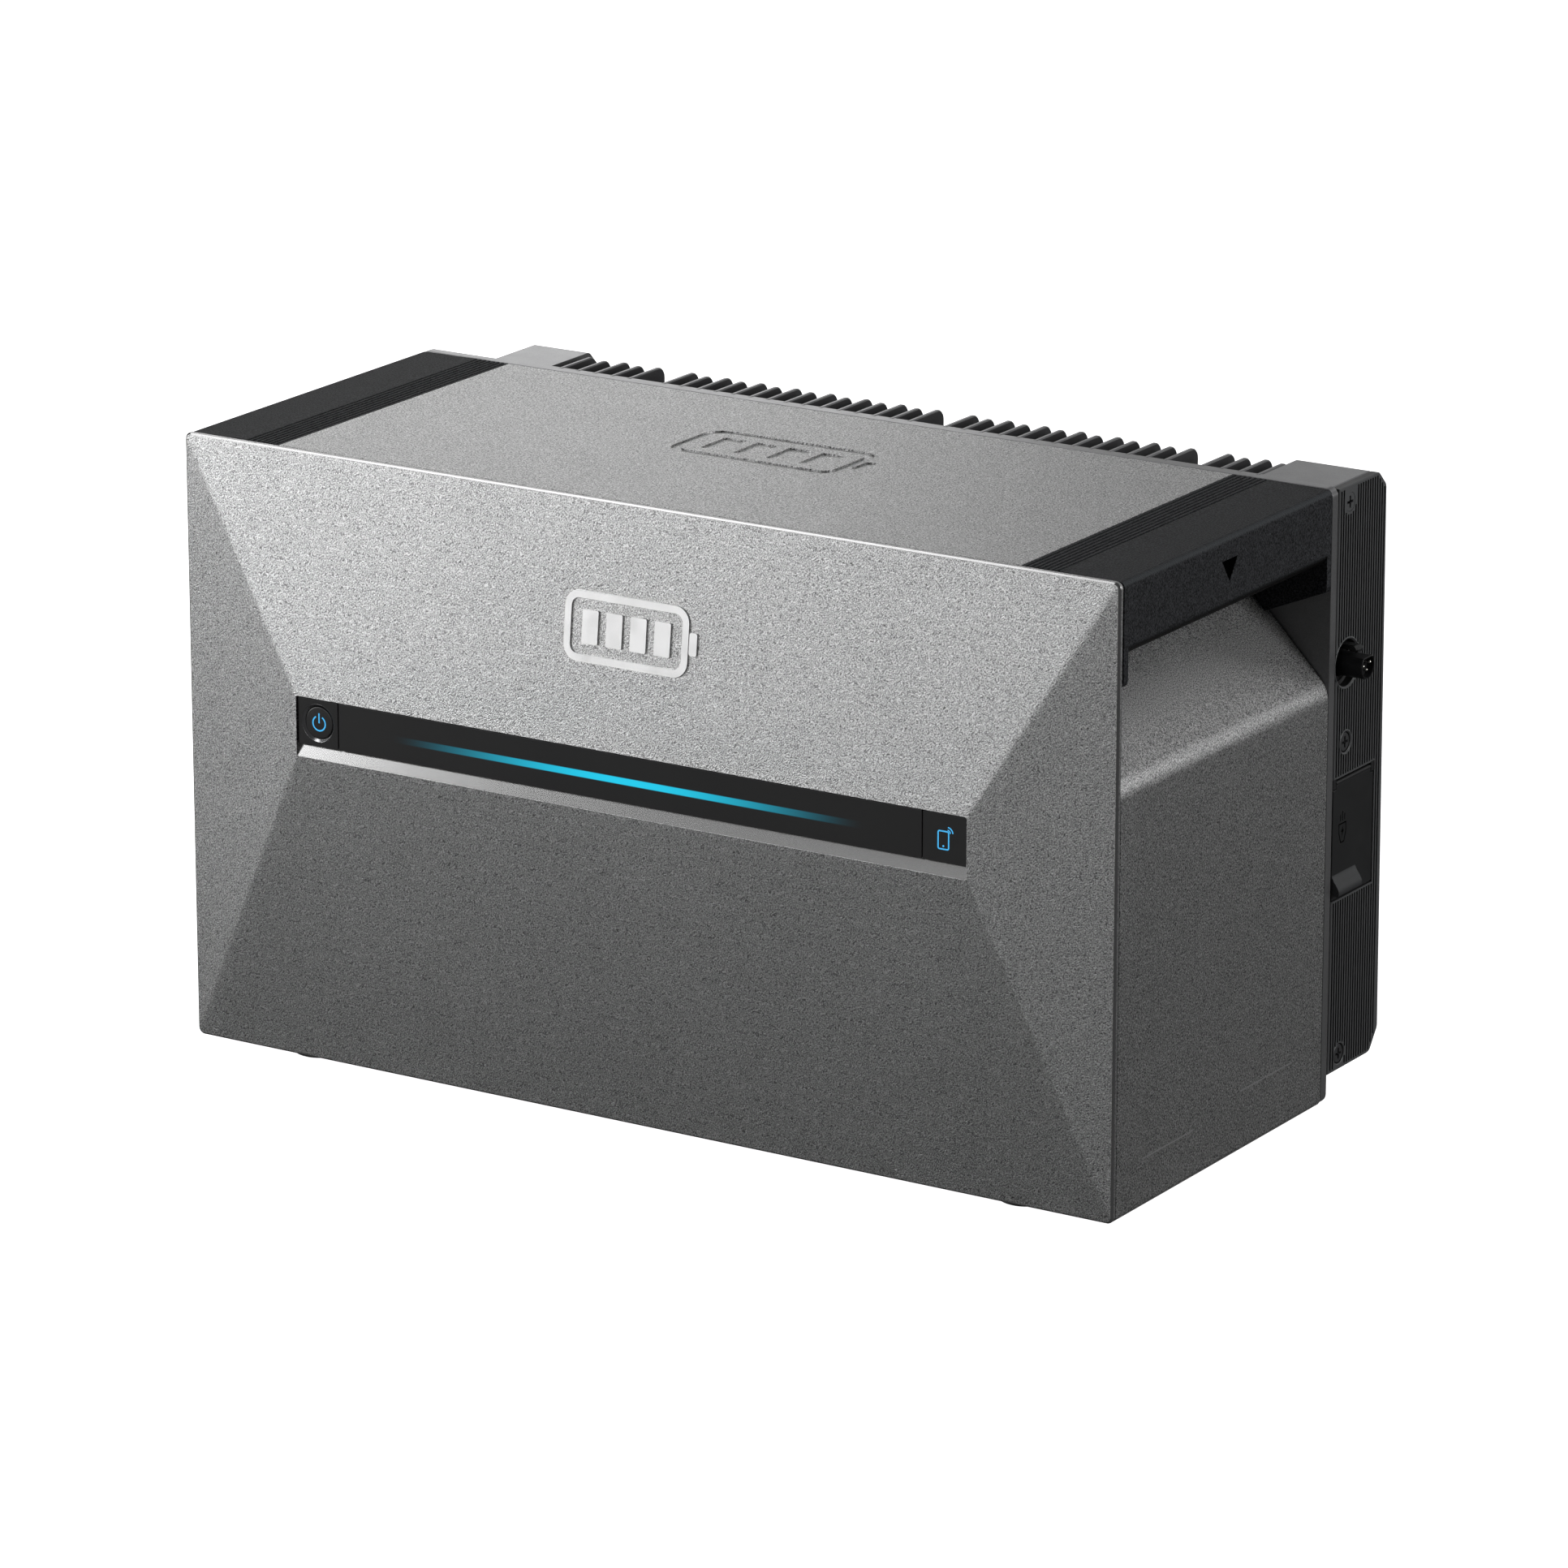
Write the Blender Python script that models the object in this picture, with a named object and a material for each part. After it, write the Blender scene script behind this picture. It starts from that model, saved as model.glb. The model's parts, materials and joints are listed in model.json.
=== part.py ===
"""Stackable balcony battery unit, built as separate parts.

Metres, +Z up. The front faces -Y. The origin is on the floor under the middle of the whole unit.
Most places are given as x, a depth behind the front rim, and a height above the housing's underside.
"""
import math

import bmesh
import bpy
from mathutils import Vector

# Driving dimensions of the case
CASE_HALF_WIDTH = 0.230
CASE_HEIGHT = 0.270
FOOT_HEIGHT = 0.004
RIDGE_HEIGHT = 0.011          # the light strip stands this far in front of the rim
BODY_DEPTH = 0.226            # from the front rim to the rearmost face
OVERALL_HALF_WIDTH = 0.240    # connectors on both sides reach this far
GAP = 0.0004                  # clearance between neighbouring parts
WALL = 0.003

RIM_Y = RIDGE_HEIGHT - (RIDGE_HEIGHT + BODY_DEPTH) / 2

# Front cover, light strip and its slot
COVER_EDGE = 0.0022
SLOT_HALF_WIDTH = 0.1662
STRIP_END = SLOT_HALF_WIDTH - 0.0005
SLOT_LOW = 0.1390
SLOT_HIGH = 0.1655
STRIP_LOW = 0.1444
STRIP_HIGH = SLOT_HIGH - GAP
STRIP_FRONT = -0.0102
STRIP_BACK = -0.0079
CELL_EDGE = 0.1449            # where the square end cells of the strip begin
BUTTON_X = -0.1555
KEY_X = 0.1554
CELL_MIDDLE = (STRIP_LOW + STRIP_HIGH) / 2
BUTTON_RADIUS = 0.0069
BUTTON_FLANGE = 0.0080
BUTTON_FRONT = -0.0093
BOARD_FRONT = -0.0022

# Housing and handles
HOUSING_FRONT = 0.0028
HOUSING_BACK = 0.1756
HANDLE_FRONT = 0.0034
HANDLE_INNER = 0.1825
POCKET_INNER = 0.190
POCKET_CREASE = 0.184
POCKET_TOP = 0.2254
LEDGE = 0.263
LIP_LOW = 0.238
LIP_THICKNESS = 0.0105
HANDLE_CREASE = 0.0025
WEB_THICKNESS = 0.0035
ARROW_DEPTH = 0.0890
GROOVE_COUNT = 7
GROOVE_PITCH = 0.0024
GROOVE_WIDTH = 0.0012
GROOVE_DEPTH = 0.0009

# Rear unit
FRAME_FRONT = 0.1760
FRAME_BACK = 0.1813
SINK_FRONT = 0.1817
SINK_BASE = 0.1870
SINK_TOP = 0.2686
SINK_BOTTOM = 0.0120
SINK_LEFT = -0.1966
SINK_RIGHT = 0.2256
LEFT_BLOCK_INNER = -0.1676
RIGHT_BLOCK_INNER = 0.1909
FIN_COUNT = 40
FIN_FIRST_X = -0.1619
FIN_PITCH = 0.0090
FIN_THICKNESS = 0.0022
FIN_LONG = 0.2132
FIN_SHORT = 0.2110
FIN_CORNER = 0.005
BOSS_FINS = (5, 21, 35)
BOSS_RECESS = 0.0055
BOSS_HALF_WIDTH = 0.0058
BOSS_HEIGHT = 0.015
BOSS_REACH = 0.2010
CHAMFER_START = 0.2170        # depth at which the rear unit's top edge turns down
LOW_RIB_REACH = 0.1990
LOW_RIB_THICKNESS = 0.0014

# Hollows in the end blocks: (nearest depth, furthest depth, lowest height, highest height)
RIGHT_TOP_HOLLOW = (0.1970, 0.2190, 0.145, 0.250)
RIGHT_LOW_HOLLOW = (0.1970, 0.2190, 0.026, 0.086)
OUTLET_HOLLOW = (0.1856, 0.2140, 0.0925, 0.1383)
SOLAR_HOLLOW = (0.1853, 0.2205, 0.034, 0.162)
LEFT_TOP_HOLLOW = (0.1970, 0.2190, 0.170, 0.250)

# Side covers, their screws and what sits in them
COVER_THICKNESS = 0.0040
RIGHT_COVER_X = 0.2260
LEFT_COVER_X = -0.2010
SCREW_DEPTH = 0.1915
SCREW_RADIUS = 0.0019
SCREW_HEAD_RADIUS = 0.0041
SCREW_LENGTH = 0.0150
CROSS_REACH = 0.0026
CROSS_HALF_WIDTH = 0.0006
RIGHT_SCREW_HEIGHTS = (0.2612, 0.1570, 0.0190)
LEFT_SCREW_HEIGHTS = (0.2612, 0.1900, 0.0190)
RIB_PITCH = 0.0021
RIB_GROOVE = 0.0011
RIB_DEPTH = 0.0009
RIB_COUNT = 19
RIB_FIRST_DEPTH = 0.1838
RIB_CLEAR_OF_SCREW = 0.0053
CONNECTOR_DEPTH = 0.1915
CONNECTOR_HEIGHT = 0.1916
CONNECTOR_HOLE = 0.0102
FLAP_HINGE_X = 0.2289
FLAP_HINGE_HEIGHT = 0.1402
FLAP_LOW = 0.0892
FLAP_KNUCKLE = 0.0011
PIN_RADIUS = 0.0007
SOLAR_HEIGHTS = (0.050, 0.082, 0.114, 0.146)
SOLAR_DEPTHS = (0.1937, 0.2128)
SOLAR_NECK_RADIUS = 0.0062

# Battery module
CELL_COUNT = 8
CELL_THICKNESS = 0.0367
CELL_DEPTH = 0.130
CELL_HEIGHT = 0.200
CELL_PITCH = 0.0372
MODULE_FRONT = 0.014
MODULE_BOTTOM = 0.008

MATERIALS = {
    "grey_shell": ((0.30, 0.30, 0.30), 0.55, 0.35),
    "black_handle": ((0.035, 0.037, 0.040), 0.50, 0.0),
    "cast_metal": ((0.10, 0.10, 0.105), 0.50, 0.6),
    "black_cover": ((0.045, 0.047, 0.050), 0.45, 0.0),
    "strip_black": ((0.020, 0.020, 0.021), 0.18, 0.0),
    "bright_trim": ((0.75, 0.75, 0.76), 0.22, 1.0),
    "rubber_black": ((0.020, 0.020, 0.020), 0.85, 0.0),
    "silicone": ((0.35, 0.36, 0.37), 0.60, 0.0),
    "diffuser": ((0.75, 0.88, 0.92), 0.35, 0.0),
    "board_green": ((0.02, 0.12, 0.06), 0.45, 0.0),
    "steel": ((0.45, 0.45, 0.46), 0.35, 1.0),
    "black_screw": ((0.05, 0.05, 0.055), 0.40, 0.6),
    "cell_blue": ((0.03, 0.10, 0.28), 0.40, 0.0),
    "insulator": ((0.75, 0.72, 0.60), 0.60, 0.0),
    "copper": ((0.70, 0.35, 0.18), 0.35, 1.0),
    "outlet_black": ((0.06, 0.06, 0.07), 0.35, 0.0),
}


def clear_scene():
    for thing in list(bpy.data.objects):
        bpy.data.objects.remove(thing, do_unlink=True)


def material(name):
    """The named material, made the first time that it is asked for."""
    if name in bpy.data.materials:
        return bpy.data.materials[name]
    colour, roughness, metallic = MATERIALS[name]
    made = bpy.data.materials.new(name)
    made.use_nodes = True
    shader = made.node_tree.nodes["Principled BSDF"]
    shader.inputs["Base Color"].default_value = (*colour, 1.0)
    shader.inputs["Roughness"].default_value = roughness
    shader.inputs["Metallic"].default_value = metallic
    return made


def place(x, depth, height):
    return Vector((x, RIM_Y + depth, FOOT_HEIGHT + height))


# Outlines: lists of 2-D points, anticlockwise

def rounded(corners, steps=4):
    """An outline from corners (u, v, radius), each radius drawn as an arc of so many steps."""
    points = []
    for index, (u, v, radius) in enumerate(corners):
        corner = Vector((u, v))
        if radius == 0:
            points.append(corner)
            continue
        before = Vector(corners[index - 1][:2]) - corner
        after = Vector(corners[(index + 1) % len(corners)][:2]) - corner
        half_angle = before.angle(after) / 2
        before.normalize()
        after.normalize()
        centre = corner + (before + after).normalized() * radius / math.sin(half_angle)
        first = corner + before * radius / math.tan(half_angle) - centre
        last = corner + after * radius / math.tan(half_angle) - centre
        sweep = first.angle_signed(last)
        for step in range(steps + 1):
            angle = -sweep * step / steps
            turned_arm = Vector((first.x * math.cos(angle) - first.y * math.sin(angle),
                                 first.x * math.sin(angle) + first.y * math.cos(angle)))
            points.append(centre + turned_arm)
    return points


def inset(corners, distance):
    """The same corners with every edge moved inwards."""
    moved = []
    for index, (u, v, radius) in enumerate(corners):
        corner = Vector((u, v))
        arriving = (corner - Vector(corners[index - 1][:2])).normalized()
        leaving = (Vector(corners[(index + 1) % len(corners)][:2]) - corner).normalized()
        turn = arriving.x * leaving.y - arriving.y * leaving.x
        inward = Vector((-arriving.y, arriving.x)) + Vector((-leaving.y, leaving.x))
        inward.normalize()
        reach = distance / inward.dot(Vector((-leaving.y, leaving.x)))
        new = corner + inward * reach
        if radius > 0:
            radius = max(radius - math.copysign(distance, turn), 0.0003)
        moved.append((new.x, new.y, radius))
    return moved


def rectangle(low_u, high_u, low_v, high_v, radius=0.0):
    return [(low_u, low_v, radius), (high_u, low_v, radius),
            (high_u, high_v, radius), (low_u, high_v, radius)]


def across_x(outline, x):
    return [place(x, u, v) for u, v in outline]


def across_y(outline, depth):
    return [place(u, depth, v) for u, v in outline]


# Solids

def new_object(name, mesh, material_name):
    made = bpy.data.objects.new(name, mesh)
    bpy.context.scene.collection.objects.link(made)
    mesh.materials.append(material(material_name))
    return made


def add_loft(shell, rings, looped=False):
    """Walls between rings of points, with end caps unless the last ring joins the first."""
    loops = [[shell.verts.new(point) for point in ring] for ring in rings]
    pairs = list(zip(loops, loops[1:]))
    if looped:
        pairs.append((loops[-1], loops[0]))
    else:
        shell.faces.new(loops[0])
        shell.faces.new(loops[-1])
    for first, second in pairs:
        for index in range(len(first)):
            after = (index + 1) % len(first)
            shell.faces.new((first[index], first[after], second[after], second[index]))


def solid(name, lofts, material_name, looped=False, smooth_angle=None):
    """One object from one or more lists of rings."""
    mesh = bpy.data.meshes.new(name)
    shell = bmesh.new()
    for rings in lofts:
        add_loft(shell, rings, looped)
    bmesh.ops.recalc_face_normals(shell, faces=shell.faces)
    shell.to_mesh(mesh)
    shell.free()
    made = new_object(name, mesh, material_name)
    if smooth_angle:
        mesh.shade_smooth()
        mesh.set_sharp_from_angle(angle=math.radians(smooth_angle))
    return made


def box_rings(low_x, high_x, low_depth, high_depth, low_height, high_height):
    outline = rounded(rectangle(low_depth, high_depth, low_height, high_height))
    return [across_x(outline, low_x), across_x(outline, high_x)]


def box(name, *sides, material_name):
    return solid(name, [box_rings(*sides)], material_name)


def turned_rings(axis, centre, profile, sides=24):
    """Rings of a turned piece: profile holds (place along the axis, radius)."""
    rings = []
    for along, radius in profile:
        ring = []
        for index in range(sides):
            angle = 2 * math.pi * index / sides
            first = radius * math.cos(angle)
            second = radius * math.sin(angle)
            if axis == "x":
                ring.append(place(along, centre[0] + first, centre[1] + second))
            elif axis == "y":
                ring.append(place(centre[0] + first, along, centre[1] + second))
            else:
                ring.append(place(centre[0] + first, centre[1] + second, along))
        rings.append(ring)
    return rings


def turned(name, axis, centre, profile, material_name, sides=24):
    return solid(name, [turned_rings(axis, centre, profile, sides)], material_name, smooth_angle=35)


def combine(target, helper, operation):
    helper.hide_render = True
    helper.display_type = "WIRE"
    step = target.modifiers.new(helper.name, "BOOLEAN")
    step.operation = operation
    step.object = helper
    step.solver = "EXACT"


def cut(target, name, lofts):
    combine(target, solid(name, lofts, "steel"), "DIFFERENCE")


def fuse(target, name, lofts):
    combine(target, solid(name, lofts, "steel"), "UNION")


def set_origin(target, point):
    """Moves an object's origin without moving its mesh."""
    for vertex in target.data.vertices:
        vertex.co -= point
    target.location = point


# Housing, handles and feet

def housing_corners():
    right = [
        (CASE_HALF_WIDTH, 0.0, 0.003),
        (CASE_HALF_WIDTH, POCKET_CREASE, 0.012),
        (POCKET_INNER, POCKET_TOP, 0.004),
        (POCKET_INNER, LEDGE, 0.0),
        (HANDLE_INNER, LEDGE, 0.0),
        (HANDLE_INNER, CASE_HEIGHT, 0.0),
    ]
    left = [(-x, height, radius) for x, height, radius in reversed(right)]
    return right + left


FOOT_PLACES = {
    "foot_front_left": (-0.178, 0.019),
    "foot_front_right": (0.178, 0.019),
    "foot_rear_left": (-0.178, 0.158),
    "foot_rear_right": (0.178, 0.158),
}
FOOT_STUD_RADIUS = 0.003


def make_housing():
    outer = rounded(housing_corners(), 3)
    eased = rounded(inset(housing_corners(), 0.0005), 3)
    inner = rounded(inset(housing_corners(), WALL), 3)
    rings = [
        across_y(eased, HOUSING_FRONT),
        across_y(outer, HOUSING_FRONT + 0.0005),
        across_y(outer, HOUSING_BACK - 0.0005),
        across_y(eased, HOUSING_BACK),
        across_y(inner, HOUSING_BACK),
        across_y(inner, HOUSING_FRONT),
    ]
    housing = solid("main_housing", [rings], "grey_shell", looped=True, smooth_angle=30)
    hole = [(-0.001, FOOT_STUD_RADIUS + GAP), (WALL + 0.001, FOOT_STUD_RADIUS + GAP)]
    cut(housing, "foot_stud_holes", [turned_rings("z", spot, hole, 10) for spot in FOOT_PLACES.values()])


def make_feet():
    profile = [
        (-FOOT_HEIGHT, 0.0108),
        (-FOOT_HEIGHT + 0.0012, 0.0120),
        (-GAP, 0.0120),
        (-GAP + 0.00001, FOOT_STUD_RADIUS),
        (WALL - 0.0005, FOOT_STUD_RADIUS),
    ]
    for name, spot in FOOT_PLACES.items():
        turned(name, "z", spot, profile, "rubber_black", 20)


def handle_outline():
    """The full section of a right handle, as its end webs show it."""
    outer = CASE_HALF_WIDTH
    corners = [
        (HANDLE_INNER + GAP, LEDGE + GAP, 0),
        (POCKET_INNER + GAP, LEDGE + GAP, 0),
        (POCKET_INNER + GAP, 0.2320, 0),
        (0.1980, 0.2179, 0),
        (0.2013, 0.2146, 0),
        (outer - 0.0005, 0.2264, 0.0006),
        (outer, 0.2285, 0),
        (outer, CASE_HEIGHT, HANDLE_CREASE),
    ]
    outline = rounded(corners, 5)
    for index in reversed(range(GROOVE_COUNT)):
        middle = HANDLE_INNER + 0.0022 + GROOVE_PITCH * index
        outline.append(Vector((middle + GROOVE_WIDTH / 2, CASE_HEIGHT)))
        outline.append(Vector((middle + GROOVE_WIDTH / 3, CASE_HEIGHT - GROOVE_DEPTH)))
        outline.append(Vector((middle - GROOVE_WIDTH / 3, CASE_HEIGHT - GROOVE_DEPTH)))
        outline.append(Vector((middle - GROOVE_WIDTH / 2, CASE_HEIGHT)))
    outline.append(Vector((HANDLE_INNER + GAP, CASE_HEIGHT)))
    return outline


def finger_space_outline():
    """What is cut away between the webs, leaving the top plate and the rounded grip lip."""
    radius = LIP_THICKNESS / 2
    lip_inner = CASE_HALF_WIDTH - LIP_THICKNESS
    outline = rounded([(0.1850, 0.2000, 0), (0.2400, 0.2000, 0), (0.2400, LIP_LOW + radius, 0)])
    for step in range(7):
        angle = -math.pi * step / 6
        outline.append(Vector((lip_inner + radius + radius * math.cos(angle),
                               LIP_LOW + radius + radius * math.sin(angle))))
    underside = LEDGE + GAP / 2
    outline += rounded([(lip_inner, LIP_LOW + radius, 0), (lip_inner, underside, 0.004),
                        (0.1850, underside, 0)])[1:]
    return outline


def mirrored(rings, side):
    return [[Vector((side * point.x, point.y, point.z)) for point in ring] for ring in rings]


def make_handle(name, side):
    full = handle_outline()
    body = [across_y(full, HANDLE_FRONT), across_y(full, HOUSING_BACK)]
    handle = solid(name, [mirrored(body, side)], "black_handle", smooth_angle=30)
    space = finger_space_outline()
    opening = [
        across_y(space, HANDLE_FRONT + WEB_THICKNESS),
        across_y(space, HOUSING_BACK - WEB_THICKNESS),
    ]
    cut(handle, name + "_finger_space", [mirrored(opening, side)])
    tip, top, half_width = 0.2505, 0.2600, 0.0065
    arrow = [Vector((ARROW_DEPTH, tip)), Vector((ARROW_DEPTH + half_width, top)),
             Vector((ARROW_DEPTH - half_width, top))]
    arrow_cut = [across_x(arrow, CASE_HALF_WIDTH - 0.0005), across_x(arrow, CASE_HALF_WIDTH + 0.001)]
    cut(handle, name + "_arrow", [mirrored(arrow_cut, side)])


# Front cover and everything in the light strip

def cover_ring(half_width, low, high, radius, depth):
    return across_y(rounded(rectangle(-half_width, half_width, low, high, radius)), depth)


def make_front_cover():
    wide, high = CASE_HALF_WIDTH, CASE_HEIGHT
    ridge = -RIDGE_HEIGHT
    lip = 0.0004
    inside_ridge = -0.0077
    round_slot = 0.0025
    rings = [
        cover_ring(wide, 0, high, 0.0030, COVER_EDGE),
        cover_ring(wide, 0, high, 0.0030, 0.0012),
        cover_ring(wide - 0.00035, 0.00035, high - 0.00035, 0.00265, 0.00035),
        cover_ring(wide - 0.0012, 0.0012, high - 0.0012, 0.0018, -0.00015),
        cover_ring(SLOT_HALF_WIDTH + lip, SLOT_LOW - lip, SLOT_HIGH + lip, 0.0014, ridge),
        cover_ring(SLOT_HALF_WIDTH, SLOT_LOW, SLOT_HIGH, 0.0010, ridge + lip),
        cover_ring(SLOT_HALF_WIDTH, SLOT_LOW, SLOT_HIGH, 0.0010, inside_ridge),
        cover_ring(SLOT_HALF_WIDTH + 0.0023, SLOT_LOW - round_slot, SLOT_HIGH + round_slot, 0.0010,
                   inside_ridge),
        cover_ring(wide - 0.0034, 0.0034, high - 0.0034, 0.0010, 0.0014),
        cover_ring(wide - WALL, WALL, high - WALL, 0.0010, COVER_EDGE),
    ]
    solid("front_cover", [rings], "grey_shell", looped=True, smooth_angle=12)


def make_strip():
    end = SLOT_HALF_WIDTH - 0.0006
    sill = [Vector((-0.0106, SLOT_LOW + 0.0005)), Vector((STRIP_BACK, SLOT_LOW + 0.0005)),
            Vector((STRIP_BACK, STRIP_LOW - GAP)), Vector((-0.0099, STRIP_LOW - GAP))]
    solid("lightbar_trim", [[across_x(sill, -end), across_x(sill, end)]], "bright_trim")
    half = CELL_EDGE - GAP / 2
    box("lightbar_window", -half, half, STRIP_FRONT, STRIP_BACK, STRIP_LOW, STRIP_HIGH,
        material_name="strip_black")
    guide_half_width, guide_half_height = 0.118, 0.0041
    box("light_guide", -guide_half_width, guide_half_width, STRIP_BACK + GAP, -0.0032,
        CELL_MIDDLE - guide_half_height, CELL_MIDDLE + guide_half_height, material_name="diffuser")


def make_power_button():
    frame = box("power_button_frame", -STRIP_END, -CELL_EDGE - GAP / 2, STRIP_FRONT, STRIP_BACK,
                STRIP_LOW, STRIP_HIGH, material_name="strip_black")
    dish = [(STRIP_FRONT - 0.0005, 0.0086), (-0.0092, 0.0072), (STRIP_BACK + 0.0005, 0.0072)]
    centre = (BUTTON_X, CELL_MIDDLE)
    cut(frame, "power_button_dish", [turned_rings("y", centre, dish, 32)])
    profile = [
        (BUTTON_FRONT, BUTTON_RADIUS - 0.00035),
        (BUTTON_FRONT + 0.0002, BUTTON_RADIUS),
        (-0.0075, BUTTON_RADIUS),
        (-0.0074, BUTTON_FLANGE),
        (-0.0066, BUTTON_FLANGE),
        (-0.0065, 0.0020),
        (-0.0044, 0.0020),
    ]
    button = turned("power_button", "y", centre, profile, "strip_black", 32)
    set_origin(button, place(BUTTON_X, BUTTON_FRONT, CELL_MIDDLE))
    make_dome("power_button_dome", BUTTON_X)


def make_pairing_key():
    key = box("pairing_key", CELL_EDGE + GAP / 2, STRIP_END, STRIP_FRONT, -0.0070,
              STRIP_LOW, STRIP_HIGH, material_name="strip_black")
    stem = [(-0.0080, 0.0020), (-0.0044, 0.0020)]
    fuse(key, "pairing_key_stem", [turned_rings("y", (KEY_X, CELL_MIDDLE), stem, 12)])
    make_dome("pairing_key_dome", KEY_X)


def make_dome(name, x):
    profile = [(-0.0041, 0.0022), (-0.0038, 0.0028), (BOARD_FRONT - GAP, 0.0036)]
    turned(name, "y", (x, CELL_MIDDLE), profile, "silicone", 12)


def make_display_carrier():
    """An open tray behind the strip, holding the board."""
    half_width, low, high = 0.1680, 0.1372, 0.1673
    wall = 0.0014
    front, floor, back = -0.0073, 0.0004, 0.0018
    rings = [
        cover_ring(half_width, low, high, 0.001, back),
        cover_ring(half_width, low, high, 0.001, front),
        cover_ring(half_width - wall, low + wall, high - wall, 0.0005, front),
        cover_ring(half_width - wall, low + wall, high - wall, 0.0005, floor),
    ]
    solid("display_carrier", [rings], "black_cover")
    box("display_board", -0.163, 0.163, BOARD_FRONT, -0.0006, 0.1415, 0.1630, material_name="board_green")


# Bulkhead and gaskets

def ring_in_housing(name, front, back, width, material_name):
    outer = rounded(inset(housing_corners(), WALL + GAP), 3)
    inner = rounded(inset(housing_corners(), WALL + GAP + width), 3)
    rings = [across_y(outer, front), across_y(outer, back), across_y(inner, back), across_y(inner, front)]
    solid(name, [rings], material_name, looped=True)


def make_bulkhead_and_gaskets():
    outline = rounded(inset(housing_corners(), WALL + GAP), 3)
    solid("front_bulkhead", [[across_y(outline, 0.0064), across_y(outline, 0.0079)]], "steel")
    ring_in_housing("front_gasket", 0.0032, 0.0060, 0.005, "rubber_black")
    ring_in_housing("rear_gasket", 0.1720, 0.1754, 0.004, "rubber_black")


# Rear frame, heat sink and side covers

def make_rear_frame():
    wide, high = CASE_HALF_WIDTH, CASE_HEIGHT
    ease = 0.0007
    window = (0.186, 0.020, 0.250, 0.005)
    rings = [
        cover_ring(wide - ease, ease, high - ease, 0.0033, FRAME_FRONT),
        cover_ring(wide, 0, high, 0.0040, FRAME_FRONT + ease),
        cover_ring(wide, 0, high, 0.0040, FRAME_BACK - ease),
        cover_ring(wide - ease, ease, high - ease, 0.0033, FRAME_BACK),
        cover_ring(*window, FRAME_BACK),
        cover_ring(*window, FRAME_FRONT),
    ]
    solid("rear_frame", [rings], "cast_metal", looped=True, smooth_angle=30)


def side_corners(front):
    """The rear unit seen from its side, as depth and height."""
    return [
        (front, SINK_BOTTOM, 0),
        (0.2190, SINK_BOTTOM, 0.004),
        (BODY_DEPTH, 0.0216, 0.004),
        (BODY_DEPTH - 0.00242, 0.2621, 0.004),
        (CHAMFER_START, SINK_TOP, 0.004),
        (front, SINK_TOP, 0),
    ]


def fin_outline(reach, low, high):
    return rounded([(SINK_BASE - 0.002, low, 0), (reach, low, FIN_CORNER), (reach, high, FIN_CORNER),
                    (SINK_BASE - 0.002, high, 0)], 3)


def fin_lofts():
    """Every fin, and the low rib after it. The fins behind the bosses are shorter."""
    low, high = SINK_BOTTOM + 0.001, SINK_TOP + 0.0002
    half = FIN_THICKNESS / 2
    lofts = []
    for index in range(FIN_COUNT):
        x = FIN_FIRST_X + FIN_PITCH * index
        reach = FIN_SHORT if index % 2 else FIN_LONG
        lowered = BOSS_RECESS if index in BOSS_FINS else 0.0
        outline = fin_outline(reach, low + lowered, high - lowered)
        lofts.append([across_x(outline, x - half), across_x(outline, x + half)])
        middle = x + FIN_PITCH / 2
        beside_boss = index in BOSS_FINS or index + 1 in BOSS_FINS
        if index + 1 < FIN_COUNT and not beside_boss:
            lofts.append(box_rings(middle - LOW_RIB_THICKNESS / 2, middle + LOW_RIB_THICKNESS / 2,
                                   SINK_BASE - 0.002, LOW_RIB_REACH, low + 0.0028, high - 0.0028))
    return lofts


def boss_lofts():
    """Blocks across the shorter fins, at the top and the bottom, where a bracket screws on."""
    lofts = []
    for index in BOSS_FINS:
        x = FIN_FIRST_X + FIN_PITCH * index
        for low in (SINK_BOTTOM + 0.0080, SINK_TOP - 0.0230):
            lofts.append(box_rings(x - BOSS_HALF_WIDTH, x + BOSS_HALF_WIDTH, SINK_BASE - 0.0015, BOSS_REACH,
                                   low, low + BOSS_HEIGHT))
    return lofts


def make_heat_sink():
    outline = rounded(side_corners(SINK_FRONT))
    sink = solid("heat_sink", [[across_x(outline, SINK_LEFT), across_x(outline, SINK_RIGHT)]],
                 "cast_metal", smooth_angle=25)
    cut(sink, "fin_bay", [box_rings(LEFT_BLOCK_INNER, RIGHT_BLOCK_INNER, SINK_BASE, 0.240, -0.01, 0.30)])
    cut(sink, "right_cavities", [
        box_rings(0.196, 0.230, *RIGHT_TOP_HOLLOW),
        box_rings(0.196, 0.230, *RIGHT_LOW_HOLLOW),
        box_rings(0.203, 0.230, *OUTLET_HOLLOW),
    ])
    nose_space = [(0.203, 0.0086), (0.230, 0.0086)]
    cut(sink, "connector_space", [turned_rings("x", (CONNECTOR_DEPTH, CONNECTOR_HEIGHT), nose_space, 16)])
    cut(sink, "left_cavities", [
        box_rings(-0.200, -0.172, *SOLAR_HOLLOW),
        box_rings(-0.200, -0.172, *LEFT_TOP_HOLLOW),
    ])
    hole = SCREW_RADIUS + GAP
    lofts = [turned_rings("x", (SCREW_DEPTH, height), [(0.212, hole), (0.230, hole)], 8)
             for height in RIGHT_SCREW_HEIGHTS]
    lofts += [turned_rings("x", (SCREW_DEPTH, height), [(-0.183, hole), (-0.200, hole)], 8)
              for height in LEFT_SCREW_HEIGHTS]
    cut(sink, "sink_screw_holes", lofts)
    fuse(sink, "fin_set", fin_lofts())
    fuse(sink, "boss_set", boss_lofts())


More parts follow.
